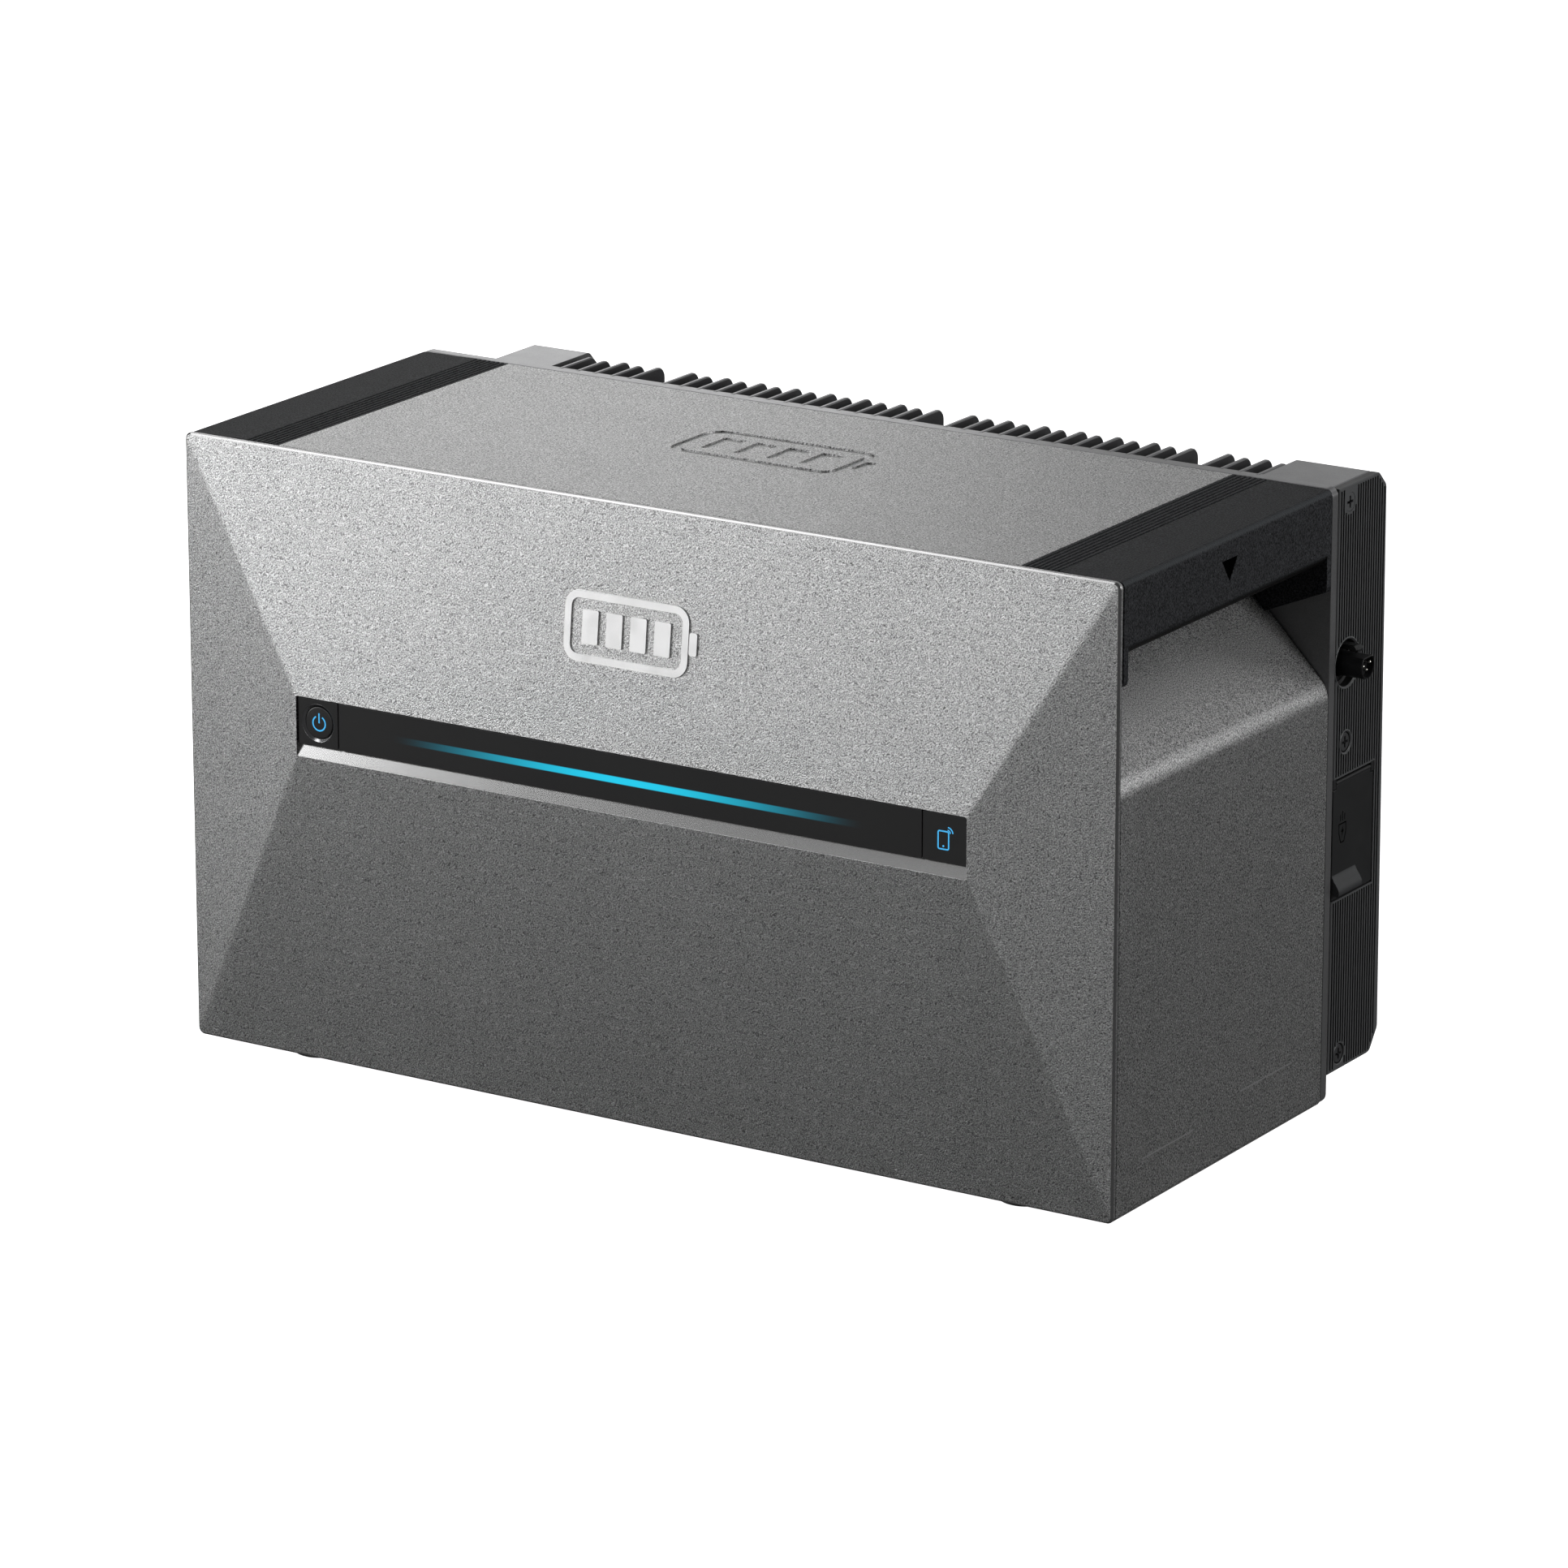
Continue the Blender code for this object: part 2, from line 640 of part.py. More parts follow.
def blocked_span(depth, middle_depth, middle_height, radius):
    """The heights that a round feature takes from a groove at this depth, or None."""
    aside = abs(depth - middle_depth)
    if aside >= radius:
        return None
    reach = math.sqrt(radius ** 2 - aside ** 2)
    return (middle_height - reach, middle_height + reach)


def groove_runs(depth, spans):
    """The stretches of one vertical groove between the margins and the features that it meets."""
    margin = 0.0013
    high = SINK_TOP - margin - max(0.0, depth + margin - CHAMFER_START)
    low = SINK_BOTTOM + margin + max(0.0, depth + margin - 0.2190) * 1.6
    runs = []
    for span_low, span_high in sorted(span for span in spans if span):
        if span_low > low:
            runs.append((low, min(span_low, high)))
        low = max(low, span_high)
    if low < high:
        runs.append((low, high))
    return [(start, end) for start, end in runs if end - start > 0.002]


def groove_lofts(outer_x, direction, screw_heights, features):
    """Vertical grooves of a side cover, cut from its outer face inwards."""
    lofts = []
    for index in range(RIB_COUNT):
        depth = RIB_FIRST_DEPTH + RIB_PITCH * index
        spans = [blocked_span(depth, SCREW_DEPTH, height, RIB_CLEAR_OF_SCREW) for height in screw_heights]
        if abs(depth - SCREW_DEPTH) < RIB_CLEAR_OF_SCREW:
            spans.append((screw_heights[0], SINK_TOP))
        spans += [feature(depth) for feature in features]
        for low, high in groove_runs(depth, spans):
            sides = sorted((outer_x - direction * RIB_DEPTH, outer_x + direction * 0.001))
            lofts.append(box_rings(*sides, depth - RIB_GROOVE / 2, depth + RIB_GROOVE / 2, low, high))
    return lofts


def screw_hole_lofts(inner_x, outer_x, direction, heights):
    lofts = []
    for height in heights:
        profile = [
            (inner_x - direction * 0.001, SCREW_RADIUS + GAP),
            (outer_x - direction * 0.0026, SCREW_RADIUS + GAP),
            (outer_x - direction * 0.0026, SCREW_HEAD_RADIUS + GAP),
            (outer_x + direction * 0.001, SCREW_HEAD_RADIUS + GAP),
        ]
        lofts.append(turned_rings("x", (SCREW_DEPTH, height), profile, 16))
    return lofts


FLAP_POCKET = (0.1815, 0.2178, FLAP_LOW - 0.0005, FLAP_HINGE_HEIGHT + 0.0022)
LUG_LOW = 0.1382
LUG_DEPTHS = ((0.1824, 0.1844), (0.2152, 0.2172))


def flap_pocket_outline():
    front, back, low, high = FLAP_POCKET
    first, second = LUG_DEPTHS
    points = [(front, low), (back, low), (back, LUG_LOW), (second[0], LUG_LOW), (second[0], high),
              (first[1], high), (first[1], LUG_LOW), (front, LUG_LOW)]
    return [Vector(point) for point in points]


def make_right_cover():
    outer_x = RIGHT_COVER_X + COVER_THICKNESS
    outline = rounded(side_corners(FRAME_BACK + 0.0006))
    rings = [across_x(outline, RIGHT_COVER_X), across_x(outline, outer_x)]
    cover = solid("side_cover_right", [rings], "black_cover", smooth_angle=25)
    features = (
        lambda depth: blocked_span(depth, CONNECTOR_DEPTH, CONNECTOR_HEIGHT, CONNECTOR_HOLE + 0.0008),
        lambda depth: (FLAP_POCKET[2] - 0.0008, FLAP_POCKET[3] + 0.0008) if depth < 0.2185 else None,
    )
    cut(cover, "right_ribs", groove_lofts(outer_x, 1, RIGHT_SCREW_HEIGHTS, features))
    cut(cover, "right_screw_holes", screw_hole_lofts(RIGHT_COVER_X, outer_x, 1, RIGHT_SCREW_HEIGHTS))
    hole = [(0.2200, CONNECTOR_HOLE), (0.2350, CONNECTOR_HOLE)]
    cut(cover, "connector_hole", [turned_rings("x", (CONNECTOR_DEPTH, CONNECTOR_HEIGHT), hole, 32)])
    pocket = flap_pocket_outline()
    cut(cover, "flap_pocket", [[across_x(pocket, 0.2274), across_x(pocket, 0.2350)]])
    cut(cover, "outlet_window", [box_rings(0.2200, 0.2350, 0.1876, 0.2116, 0.0945, 0.1363)])
    bore = [(0.1818, PIN_RADIUS + 0.0003), (0.2176, PIN_RADIUS + 0.0003)]
    cut(cover, "flap_pin_bore", [turned_rings("y", (FLAP_HINGE_X, FLAP_HINGE_HEIGHT), bore, 16)])


def make_left_cover():
    inner_x = LEFT_COVER_X + COVER_THICKNESS
    outline = rounded(side_corners(FRAME_BACK + 0.0006))
    rings = [across_x(outline, LEFT_COVER_X), across_x(outline, inner_x)]
    cover = solid("side_cover_left", [rings], "black_cover", smooth_angle=25)
    solar_low, solar_high = SOLAR_HEIGHTS[0] - 0.012, SOLAR_HEIGHTS[-1] + 0.012
    features = (lambda depth: (solar_low, solar_high),)
    cut(cover, "left_ribs", groove_lofts(LEFT_COVER_X, -1, LEFT_SCREW_HEIGHTS, features))
    cut(cover, "left_screw_holes", screw_hole_lofts(inner_x, LEFT_COVER_X, -1, LEFT_SCREW_HEIGHTS))
    lofts = []
    for height in SOLAR_HEIGHTS:
        for depth in SOLAR_DEPTHS:
            hole = [(-0.205, SOLAR_NECK_RADIUS + 0.0007), (-0.190, SOLAR_NECK_RADIUS + 0.0007)]
            lofts.append(turned_rings("x", (depth, height), hole, 12))
    cut(cover, "solar_holes", lofts)


def cross_arm(sides, height, half_depth, half_height):
    return box_rings(*sides, SCREW_DEPTH - half_depth, SCREW_DEPTH + half_depth,
                     height - half_height, height + half_height)


def make_screws():
    for name, outer_x, direction, heights in (
            ("cover_screw_right", RIGHT_COVER_X + COVER_THICKNESS, 1, RIGHT_SCREW_HEIGHTS),
            ("cover_screw_left", LEFT_COVER_X, -1, LEFT_SCREW_HEIGHTS)):
        for number, height in enumerate(heights, 1):
            under_head = outer_x - direction * 0.0022
            profile = [
                (outer_x - direction * SCREW_LENGTH, SCREW_RADIUS),
                (under_head, SCREW_RADIUS),
                (under_head + direction * 0.00001, SCREW_HEAD_RADIUS),
                (outer_x - direction * 0.0008, SCREW_HEAD_RADIUS),
                (outer_x - direction * 0.0004, SCREW_HEAD_RADIUS - 0.0005),
            ]
            screw = turned(f"{name}_{number}", "x", (SCREW_DEPTH, height), profile, "black_screw", 16)
            sides = sorted((outer_x - direction * 0.0017, outer_x + direction * 0.001))
            cut(screw, f"{name}_{number}_slot", [cross_arm(sides, height, CROSS_REACH, CROSS_HALF_WIDTH)])
            cut(screw, f"{name}_{number}_bar", [cross_arm(sides, height, CROSS_HALF_WIDTH, CROSS_REACH)])


# Connectors on the side covers

def make_grid_connector():
    centre = (CONNECTOR_DEPTH, CONNECTOR_HEIGHT)
    face = OVERALL_HALF_WIDTH
    profile = [
        (0.2045, 0.0080),
        (0.2235, 0.0080),
        (0.2240, 0.0060),
        (0.2275, 0.0056),
        (0.2285, 0.0048),
        (face - 0.0004, 0.0048),
        (face, 0.0045),
        (face, 0.0041),
        (face - 0.0022, 0.0041),
    ]
    connector = turned("grid_connector", "x", centre, profile, "black_cover", 24)
    pin_places = ((0.0027, 0.0008), (-0.0027, 0.0008), (0.0, -0.0022))
    lofts = []
    for number, (aside, up) in enumerate(pin_places, 1):
        spot = (CONNECTOR_DEPTH + aside, CONNECTOR_HEIGHT + up)
        lofts.append(turned_rings("x", spot, [(face - 0.0080, 0.0009), (face, 0.0009)], 8))
        tip = [(face - 0.0076, 0.0006), (face - 0.0012, 0.0006),
               (face - 0.0008, 0.0004), (face - 0.0006, 0.0002)]
        turned(f"grid_pin_{number}", "x", spot, tip, "steel", 8)
    cut(connector, "grid_pin_bores", lofts)
    latch_low = CONNECTOR_HEIGHT + 0.0064
    outline = [Vector(point) for point in (
        (0.2255, latch_low), (0.2345, latch_low), (0.2350, latch_low - 0.0008), (0.2358, latch_low - 0.0008),
        (0.2362, latch_low + 0.0006), (0.2345, latch_low + 0.0022), (0.2262, latch_low + 0.0022),
        (0.2255, latch_low + 0.0015))]
    latch_half_width = 0.0026
    rings = [[place(x, CONNECTOR_DEPTH + aside, height) for x, height in outline]
             for aside in (-latch_half_width, latch_half_width)]
    latch = solid("grid_connector_latch", [rings], "black_cover")
    set_origin(latch, place(0.2262, CONNECTOR_DEPTH, latch_low + 0.0011))


def make_outlet():
    big = rounded(rectangle(0.1861, 0.2135, 0.0930, 0.1378, 0.002))
    small = rounded(rectangle(0.1880, 0.2112, 0.0950, 0.1358, 0.002))
    rings = [across_x(big, 0.2040), across_x(big, 0.2252), across_x(small, 0.2253), across_x(small, 0.2274)]
    outlet = solid("ac_outlet", [rings], "outlet_black", smooth_angle=30)
    middle = 0.1996
    lofts = [
        box_rings(0.2150, 0.2290, middle - 0.0075, middle - 0.0055, 0.1120, 0.1190),
        box_rings(0.2150, 0.2290, middle + 0.0055, middle + 0.0075, 0.1120, 0.1190),
        turned_rings("x", (middle, 0.1050), [(0.2150, 0.0018), (0.2290, 0.0018)], 16),
    ]
    cut(outlet, "outlet_slots", lofts)


def make_flap():
    back, face = 0.2283, 0.2298
    low = FLAP_LOW
    neck = FLAP_HINGE_HEIGHT - 0.0006
    body = rounded([(0.1821, low, 0.0005), (0.2174, low, 0.0015), (0.2174, LUG_LOW - 0.0005, 0),
                    (0.2148, LUG_LOW - 0.0005, 0), (0.2148, neck, 0), (0.1848, neck, 0),
                    (0.1848, LUG_LOW - 0.0005, 0), (0.1821, LUG_LOW - 0.0005, 0)])
    flap = solid("ac_flap", [[across_x(body, back), across_x(body, face)]], "black_cover")
    centre = (FLAP_HINGE_X, FLAP_HINGE_HEIGHT)
    knuckle = [(0.1848, FLAP_KNUCKLE), (0.2148, FLAP_KNUCKLE)]
    fuse(flap, "flap_knuckle", [turned_rings("y", centre, knuckle, 16)])
    bore = [(0.1800, PIN_RADIUS + 0.00015), (0.2190, PIN_RADIUS + 0.00015)]
    cut(flap, "flap_bore", [turned_rings("y", centre, bore, 16)])
    tab = rounded([(0.2290, low + 0.0004, 0), (0.2322, low + 0.0004, 0.0012), (0.2336, low + 0.0040, 0.0014),
                   (0.2290, low + 0.0100, 0)])
    rings = [[place(x, depth, height) for x, height in tab] for depth in (0.1823, 0.2030)]
    fuse(flap, "flap_pull_tab", [rings])
    set_origin(flap, place(FLAP_HINGE_X, 0.1998, FLAP_HINGE_HEIGHT))
    turned("ac_flap_pin", "y", centre, [(0.1826, PIN_RADIUS), (0.2170, PIN_RADIUS)], "steel", 12)


def make_solar_inputs():
    for number, height in enumerate(SOLAR_HEIGHTS, 1):
        plate = rounded(rectangle(0.1846, 0.2219, height - 0.0100, height + 0.0100, 0.003))
        front = LEFT_COVER_X - 0.0003
        rings = [across_x(plate, front), across_x(plate, front - 0.0022)]
        socket = solid(f"pv_input_{number}", [rings], "black_handle", smooth_angle=30)
        barrels = []
        for depth in SOLAR_DEPTHS:
            profile = [(-0.1900, SOLAR_NECK_RADIUS), (-0.2020, SOLAR_NECK_RADIUS), (-0.2020, 0.0086),
                       (-0.2120, 0.0086), (-0.2122, 0.0078), (-0.2390, 0.0074),
                       (-OVERALL_HALF_WIDTH, 0.0064)]
            barrels.append(turned_rings("x", (depth, height), profile, 14))
        fuse(socket, f"pv_barrels_{number}", barrels)


# What the housing holds

def make_battery_module():
    first = -CELL_PITCH * (CELL_COUNT - 1) / 2
    top = MODULE_BOTTOM + CELL_HEIGHT
    back = MODULE_FRONT + CELL_DEPTH
    for index in range(CELL_COUNT):
        x = first + CELL_PITCH * index
        half = CELL_THICKNESS / 2
        can = box(f"cell_{index + 1}", x - half, x + half, MODULE_FRONT, back, MODULE_BOTTOM, top,
                  material_name="cell_blue")
        posts = [turned_rings("z", (x, depth), [(top - 0.002, 0.007), (top + 0.004, 0.007)], 8)
                 for depth in (MODULE_FRONT + 0.025, back - 0.025)]
        fuse(can, f"cell_{index + 1}_posts", posts)
    edge = -first + CELL_THICKNESS / 2 + 0.0006
    for name, side in (("module_end_plate_left", -1), ("module_end_plate_right", 1)):
        sides = sorted((side * edge, side * (edge + 0.003)))
        box(name, *sides, MODULE_FRONT, back, MODULE_BOTTOM, top, material_name="steel")
    box("busbar_cover", -edge, edge, MODULE_FRONT, back, top + 0.0046, top + 0.0070,
        material_name="insulator")


def make_electronics():
    board_low = MODULE_BOTTOM + CELL_HEIGHT + 0.014
    board = box("bms_board", -0.120, 0.120, 0.024, 0.134, board_low, board_low + 0.0016,
                material_name="board_green")
    parts = [box_rings(x - 0.008, x + 0.008, 0.050, 0.066, board_low + 0.001, board_low + 0.008)
             for x in (-0.090, -0.045, 0.0, 0.045, 0.090)]
    fuse(board, "bms_components", parts)
    inverter = box("inverter_board", -0.170, 0.170, 0.1500, 0.1516, 0.022, 0.200,
                   material_name="board_green")
    switches = [box_rings(x - 0.008, x + 0.008, 0.1510, 0.1560, 0.150, 0.174)
                for x in (-0.140, -0.110, -0.080, 0.080, 0.110, 0.140)]
    fuse(inverter, "inverter_switches", switches)
    ring = [(0.1522, 0.030), (0.1700, 0.030), (0.1700, 0.012), (0.1522, 0.012)]
    solid("transformer", [turned_rings("y", (0.0, 0.110), ring, 20)], "copper", looped=True, smooth_angle=30)
    box("capacitor_bank", 0.060, 0.130, 0.1520, 0.1705, 0.070, 0.100, material_name="outlet_black")


def main():
    clear_scene()
    make_housing()
    make_feet()
    make_handle("handle_right", 1)
    make_handle("handle_left", -1)
    make_front_cover()
    make_strip()
    make_power_button()
    make_pairing_key()
    make_display_carrier()
    make_bulkhead_and_gaskets()
    make_rear_frame()
    make_heat_sink()
    make_right_cover()
    make_left_cover()
    make_screws()
    make_grid_connector()
    make_outlet()
    make_flap()
    make_solar_inputs()
    make_battery_module()
    make_electronics()


main()
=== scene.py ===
"""Looks of the stackable balcony battery unit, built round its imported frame."""
import json
import math

import bmesh
import bpy
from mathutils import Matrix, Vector


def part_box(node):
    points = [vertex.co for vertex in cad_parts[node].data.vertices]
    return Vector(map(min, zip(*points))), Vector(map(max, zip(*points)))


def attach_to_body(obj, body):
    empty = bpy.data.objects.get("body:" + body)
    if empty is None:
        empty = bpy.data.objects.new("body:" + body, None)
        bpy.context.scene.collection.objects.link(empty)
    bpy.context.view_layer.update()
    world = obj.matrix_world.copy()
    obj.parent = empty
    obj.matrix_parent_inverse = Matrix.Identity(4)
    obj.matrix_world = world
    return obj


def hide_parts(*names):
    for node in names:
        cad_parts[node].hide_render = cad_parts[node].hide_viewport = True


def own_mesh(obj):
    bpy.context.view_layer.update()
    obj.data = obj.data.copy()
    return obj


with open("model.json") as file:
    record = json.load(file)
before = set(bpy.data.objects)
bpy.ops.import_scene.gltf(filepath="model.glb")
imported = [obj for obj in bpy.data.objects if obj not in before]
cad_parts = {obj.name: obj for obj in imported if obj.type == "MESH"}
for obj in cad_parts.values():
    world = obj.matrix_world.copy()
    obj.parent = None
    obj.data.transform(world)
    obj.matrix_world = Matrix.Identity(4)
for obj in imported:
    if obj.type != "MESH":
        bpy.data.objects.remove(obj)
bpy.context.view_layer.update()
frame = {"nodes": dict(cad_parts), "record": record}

# Lengths are in metres. Most shapes are given as x, a depth behind the front rim and a height above the
# housing's underside. The ridge is how far the light strip stands before the rim.
COVER_LOW, COVER_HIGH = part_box("front_cover")
RIDGE = 0.011
RIM_Y = COVER_LOW.y + RIDGE
BASE_Z = COVER_LOW.z
HALF_WIDTH = COVER_HIGH.x
HEIGHT = COVER_HIGH.z - BASE_Z
GAP = 0.0004
WALL = 0.003

SLOT_HALF_WIDTH, SLOT_LOW, SLOT_HIGH, SLOT_RADIUS = 0.1662, 0.1390, 0.1655, 0.0010
GLOW_HALF_LENGTH, GLOW_HALF_THICKNESS, GLOW_HEIGHT = 0.118, 0.00145, 0.1539
PRINT_LIFT, PRINT_SINK = 0.00005, 0.0002
SIDE_LINES = (((0.023, 0.0215), (0.066, 0.0215)), ((0.105, 0.0270), (0.150, 0.0270)))

HANDLE_INNER, POCKET_INNER, POCKET_CREASE, POCKET_TOP, LEDGE = 0.1825, 0.190, 0.184, 0.2254, 0.263
LIP_LOW, LIP_THICKNESS, WEB_THICKNESS, HANDLE_CREASE = 0.238, 0.0105, 0.0035, 0.0025
GROOVE_COUNT, GROOVE_PITCH, GROOVE_WIDTH, GROOVE_DEPTH = 7, 0.0024, 0.0012, 0.0009

SINK_FRONT, SINK_BASE, SINK_TOP, SINK_BOTTOM = 0.1817, 0.1870, 0.2686, 0.0120
BODY_DEPTH, TOP_CHAMFER, LOW_CHAMFER = 0.226, 0.2170, 0.2190
LEFT_BLOCK_INNER, RIGHT_BLOCK_INNER = -0.1676, 0.1909
FIN_COUNT, FIN_FIRST_X, FIN_PITCH, FIN_THICKNESS = 40, -0.1619, 0.0090, 0.0022
FIN_LONG, FIN_SHORT, FIN_CORNER, RIB_REACH, RIB_RECESS = 0.2132, 0.2110, 0.005, 0.1990, 0.0028
BOSS_FINS, BOSS_RECESS, BOSS_HALF_WIDTH, BOSS_REACH, BOSS_HEIGHT = (5, 21, 35), 0.0055, 0.0058, 0.2010, 0.015

COVER_THICKNESS, COVER_EASE = 0.0040, 0.0004
RIGHT_COVER_X, LEFT_COVER_X = 0.2260, -0.2010
RIGHT_FACE_X = RIGHT_COVER_X + COVER_THICKNESS
SCREW_DEPTH, SCREW_RADIUS, SCREW_HEAD_RADIUS = 0.1915, 0.0019, 0.0041
SCREW_HEIGHTS = {"right": (0.2612, 0.1570, 0.0190), "left": (0.2612, 0.1900, 0.0190)}
RIB_COUNT, RIB_FIRST_DEPTH, RIB_PITCH, RIB_DEPTH = 19, 0.1838, 0.0021, 0.0016
RIB_MOUTH, RIB_FLOOR, RIB_CLEAR_OF_SCREW, RIB_MARGIN, SHORTEST_RUN = 0.0012, 0.0010, 0.0053, 0.0013, 0.002
CONNECTOR_CENTRE, CONNECTOR_HOLE = (0.1915, 0.1916), 0.0102
FLAP_LOW, FLAP_HINGE, LUG_LOW = 0.0892, (0.2289, 0.1402), 0.1382
FLAP_POCKET = (0.1815, 0.2178, FLAP_LOW - 0.0005, FLAP_HINGE[1] + 0.0022)
LUG_DEPTHS = ((0.1824, 0.1844), (0.2152, 0.2172))
SOLAR_HEIGHTS, SOLAR_DEPTHS, SOLAR_HOLE = (0.050, 0.082, 0.114, 0.146), (0.1937, 0.2128), 0.0069


def place(x, depth, height):
    return Vector((x, RIM_Y + depth, BASE_Z + height))


def spans(node):
    """A node's box as (low x, high x), (low depth, high depth), (low height, high height)."""
    low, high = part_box(node)
    return (low.x, high.x), (low.y - RIM_Y, high.y - RIM_Y), (low.z - BASE_Z, high.z - BASE_Z)


def middle(span):
    return sum(span) / 2


def add_object(name, data):
    made = bpy.data.objects.new(name, data)
    bpy.context.scene.collection.objects.link(made)
    return made


# --- materials

def attach(tree, socket, value):
    """Gives the socket a link or a plain value."""
    if isinstance(value, bpy.types.NodeSocket):
        tree.links.new(value, socket)
    else:
        socket.default_value = value


def connect(tree, made, inputs):
    for name, value in inputs.items():
        attach(tree, made.inputs[name], value)


def node(tree, kind, inputs=None, **settings):
    made = tree.nodes.new(kind)
    for name, value in settings.items():
        setattr(made, name, value)
    connect(tree, made, inputs or {})
    return made


def new_material(name):
    made = bpy.data.materials.new(name)
    made.use_nodes = True
    return made, made.node_tree, made.node_tree.nodes["Principled BSDF"]


def object_coordinates(tree, stretch=(1.0, 1.0, 1.0), slant=0.0):
    """The object's own coordinates, turned about the depth axis by the slant and then stretched."""
    source = node(tree, "ShaderNodeTexCoord")
    turned = node(tree, "ShaderNodeMapping", {"Vector": source.outputs["Object"],
                                              "Rotation": (0.0, math.radians(slant), 0.0)})
    mapped = node(tree, "ShaderNodeMapping", {"Vector": turned.outputs["Vector"], "Scale": stretch})
    return mapped.outputs["Vector"]


def axes(tree, vector):
    return node(tree, "ShaderNodeSeparateXYZ", {"Vector": vector}).outputs


def calculate(tree, operation, *values):
    return node(tree, "ShaderNodeMath", dict(enumerate(values)), operation=operation).outputs[0]


def noise(tree, vector, size, detail=2.0):
    """Noise whose patches are about this size."""
    made = node(tree, "ShaderNodeTexNoise", {"Vector": vector, "Scale": 1.0 / size, "Detail": detail})
    return made.outputs["Fac"]


def between(tree, factor, low, high, start=0.3, end=0.7, **settings):
    """Low where the factor is at the start, high where it is at the end."""
    return node(tree, "ShaderNodeMapRange", {"Value": factor, "From Min": start, "From Max": end,
                                             "To Min": low, "To Max": high}, **settings).outputs["Result"]


def relief(tree, height, distance):
    made = node(tree, "ShaderNodeBump", {"Height": height, "Strength": 1.0, "Distance": distance})
    return made.outputs["Normal"]


def colour_mix(tree, factor, first, second, blend="MIX"):
    """A Mix node has sockets of one name for every data type, so the colour ones are picked."""
    made = node(tree, "ShaderNodeMix", data_type="RGBA", blend_type=blend)
    sockets = [made.inputs["Factor"]] + [socket for socket in made.inputs if socket.type == "RGBA"]
    for socket, value in zip(sockets, (factor, first, second)):
        attach(tree, socket, value)
    return next(socket for socket in made.outputs if socket.type == "RGBA")


def tinted(tree, factor, colour, amount):
    """The colour, a little darker and lighter from patch to patch."""
    dark = (*[c * (1 - amount) for c in colour], 1.0)
    light = (*[min(1.0, c * (1 + amount)) for c in colour], 1.0)
    return colour_mix(tree, between(tree, factor, 0.0, 1.0), dark, light)


def surface(name, colour, roughness, grain, metallic=0.0, tint=0.05, spread=0.05, patch=0.05, speckle=0.0,
            stretch=(1.0, 1.0, 1.0), slant=0.0, shine=0.5, over=None):
    """A moulded, cast or painted finish: grain is (size of a bump, its height), and over paints on top."""
    made, tree, shader = new_material(name)
    vector = object_coordinates(tree)
    colour_out = tinted(tree, noise(tree, vector, patch, 3.0), colour, tint)
    size, height = grain
    fine = noise(tree, object_coordinates(tree, stretch, slant), size)
    if speckle:
        shade = between(tree, fine, 1.0 - speckle, 1.0 + speckle)
        tone = node(tree, "ShaderNodeCombineColor", {"Red": shade, "Green": shade, "Blue": shade})
        colour_out = colour_mix(tree, 1.0, colour_out, tone.outputs["Color"], "MULTIPLY")
    if over:
        colour_out = over(tree, colour_out)
    patches = noise(tree, vector, patch / 6)
    connect(tree, shader, {"Base Color": colour_out, "Metallic": metallic, "Specular IOR Level": shine,
                           "Roughness": between(tree, patches, roughness - spread, roughness + spread),
                           "Normal": relief(tree, fine, height)})
    return made


def paint_groove_shade(tree, colour):
    """Painted shade in the grooves of the side covers: the colour goes to black below their outer faces."""
    x, y, _ = axes(tree, object_coordinates(tree))
    deep, shallow = 0.0009, 0.0003
    right = between(tree, x, 0.0, 1.0, RIGHT_FACE_X - deep, RIGHT_FACE_X - shallow)
    left = between(tree, x, 0.0, 1.0, LEFT_COVER_X + deep, LEFT_COVER_X + shallow)
    rear = between(tree, y, 0.0, 1.0, 0.1110, 0.1120)
    bright = calculate(tree, "MAXIMUM", calculate(tree, "MAXIMUM", right, left), rear)
    return colour_mix(tree, bright, (0.006, 0.006, 0.006, 1.0), colour)


def facing(tree):
    return axes(tree, node(tree, "ShaderNodeNewGeometry").outputs["True Normal"])


def paint_handle_light_and_shade(tree, colour):
    """Painted light on the handles: a painted highlight along their upper rounded edges, and painted shade in
    the turn under their lips.
    """
    x, _, z = facing(tree)
    turn = calculate(tree, "MULTIPLY", calculate(tree, "ABSOLUTE", x), z)
    upper = between(tree, turn, 0.0, 1.0, 0.15, 0.48)
    lower = between(tree, turn, 1.0, 0.0, -0.40, -0.05)
    # Painted highlight on the upper roundings, then painted shade under the lips.
    with_highlight = colour_mix(tree, upper, colour, (0.050, 0.054, 0.058, 1.0))
    return colour_mix(tree, lower, with_highlight, (0.004, 0.004, 0.004, 1.0))


def paint_fin_side_shade(tree, colour):
    """Painted shade on the fins' broad sides, which are darker than their edges and tops."""
    edge = between(tree, calculate(tree, "ABSOLUTE", facing(tree)["X"]), 1.0, 0.0, 0.55, 0.95)
    dark = colour_mix(tree, 1.0, colour, (0.34, 0.34, 0.35, 1.0), "MULTIPLY")
    return colour_mix(tree, edge, dark, colour)


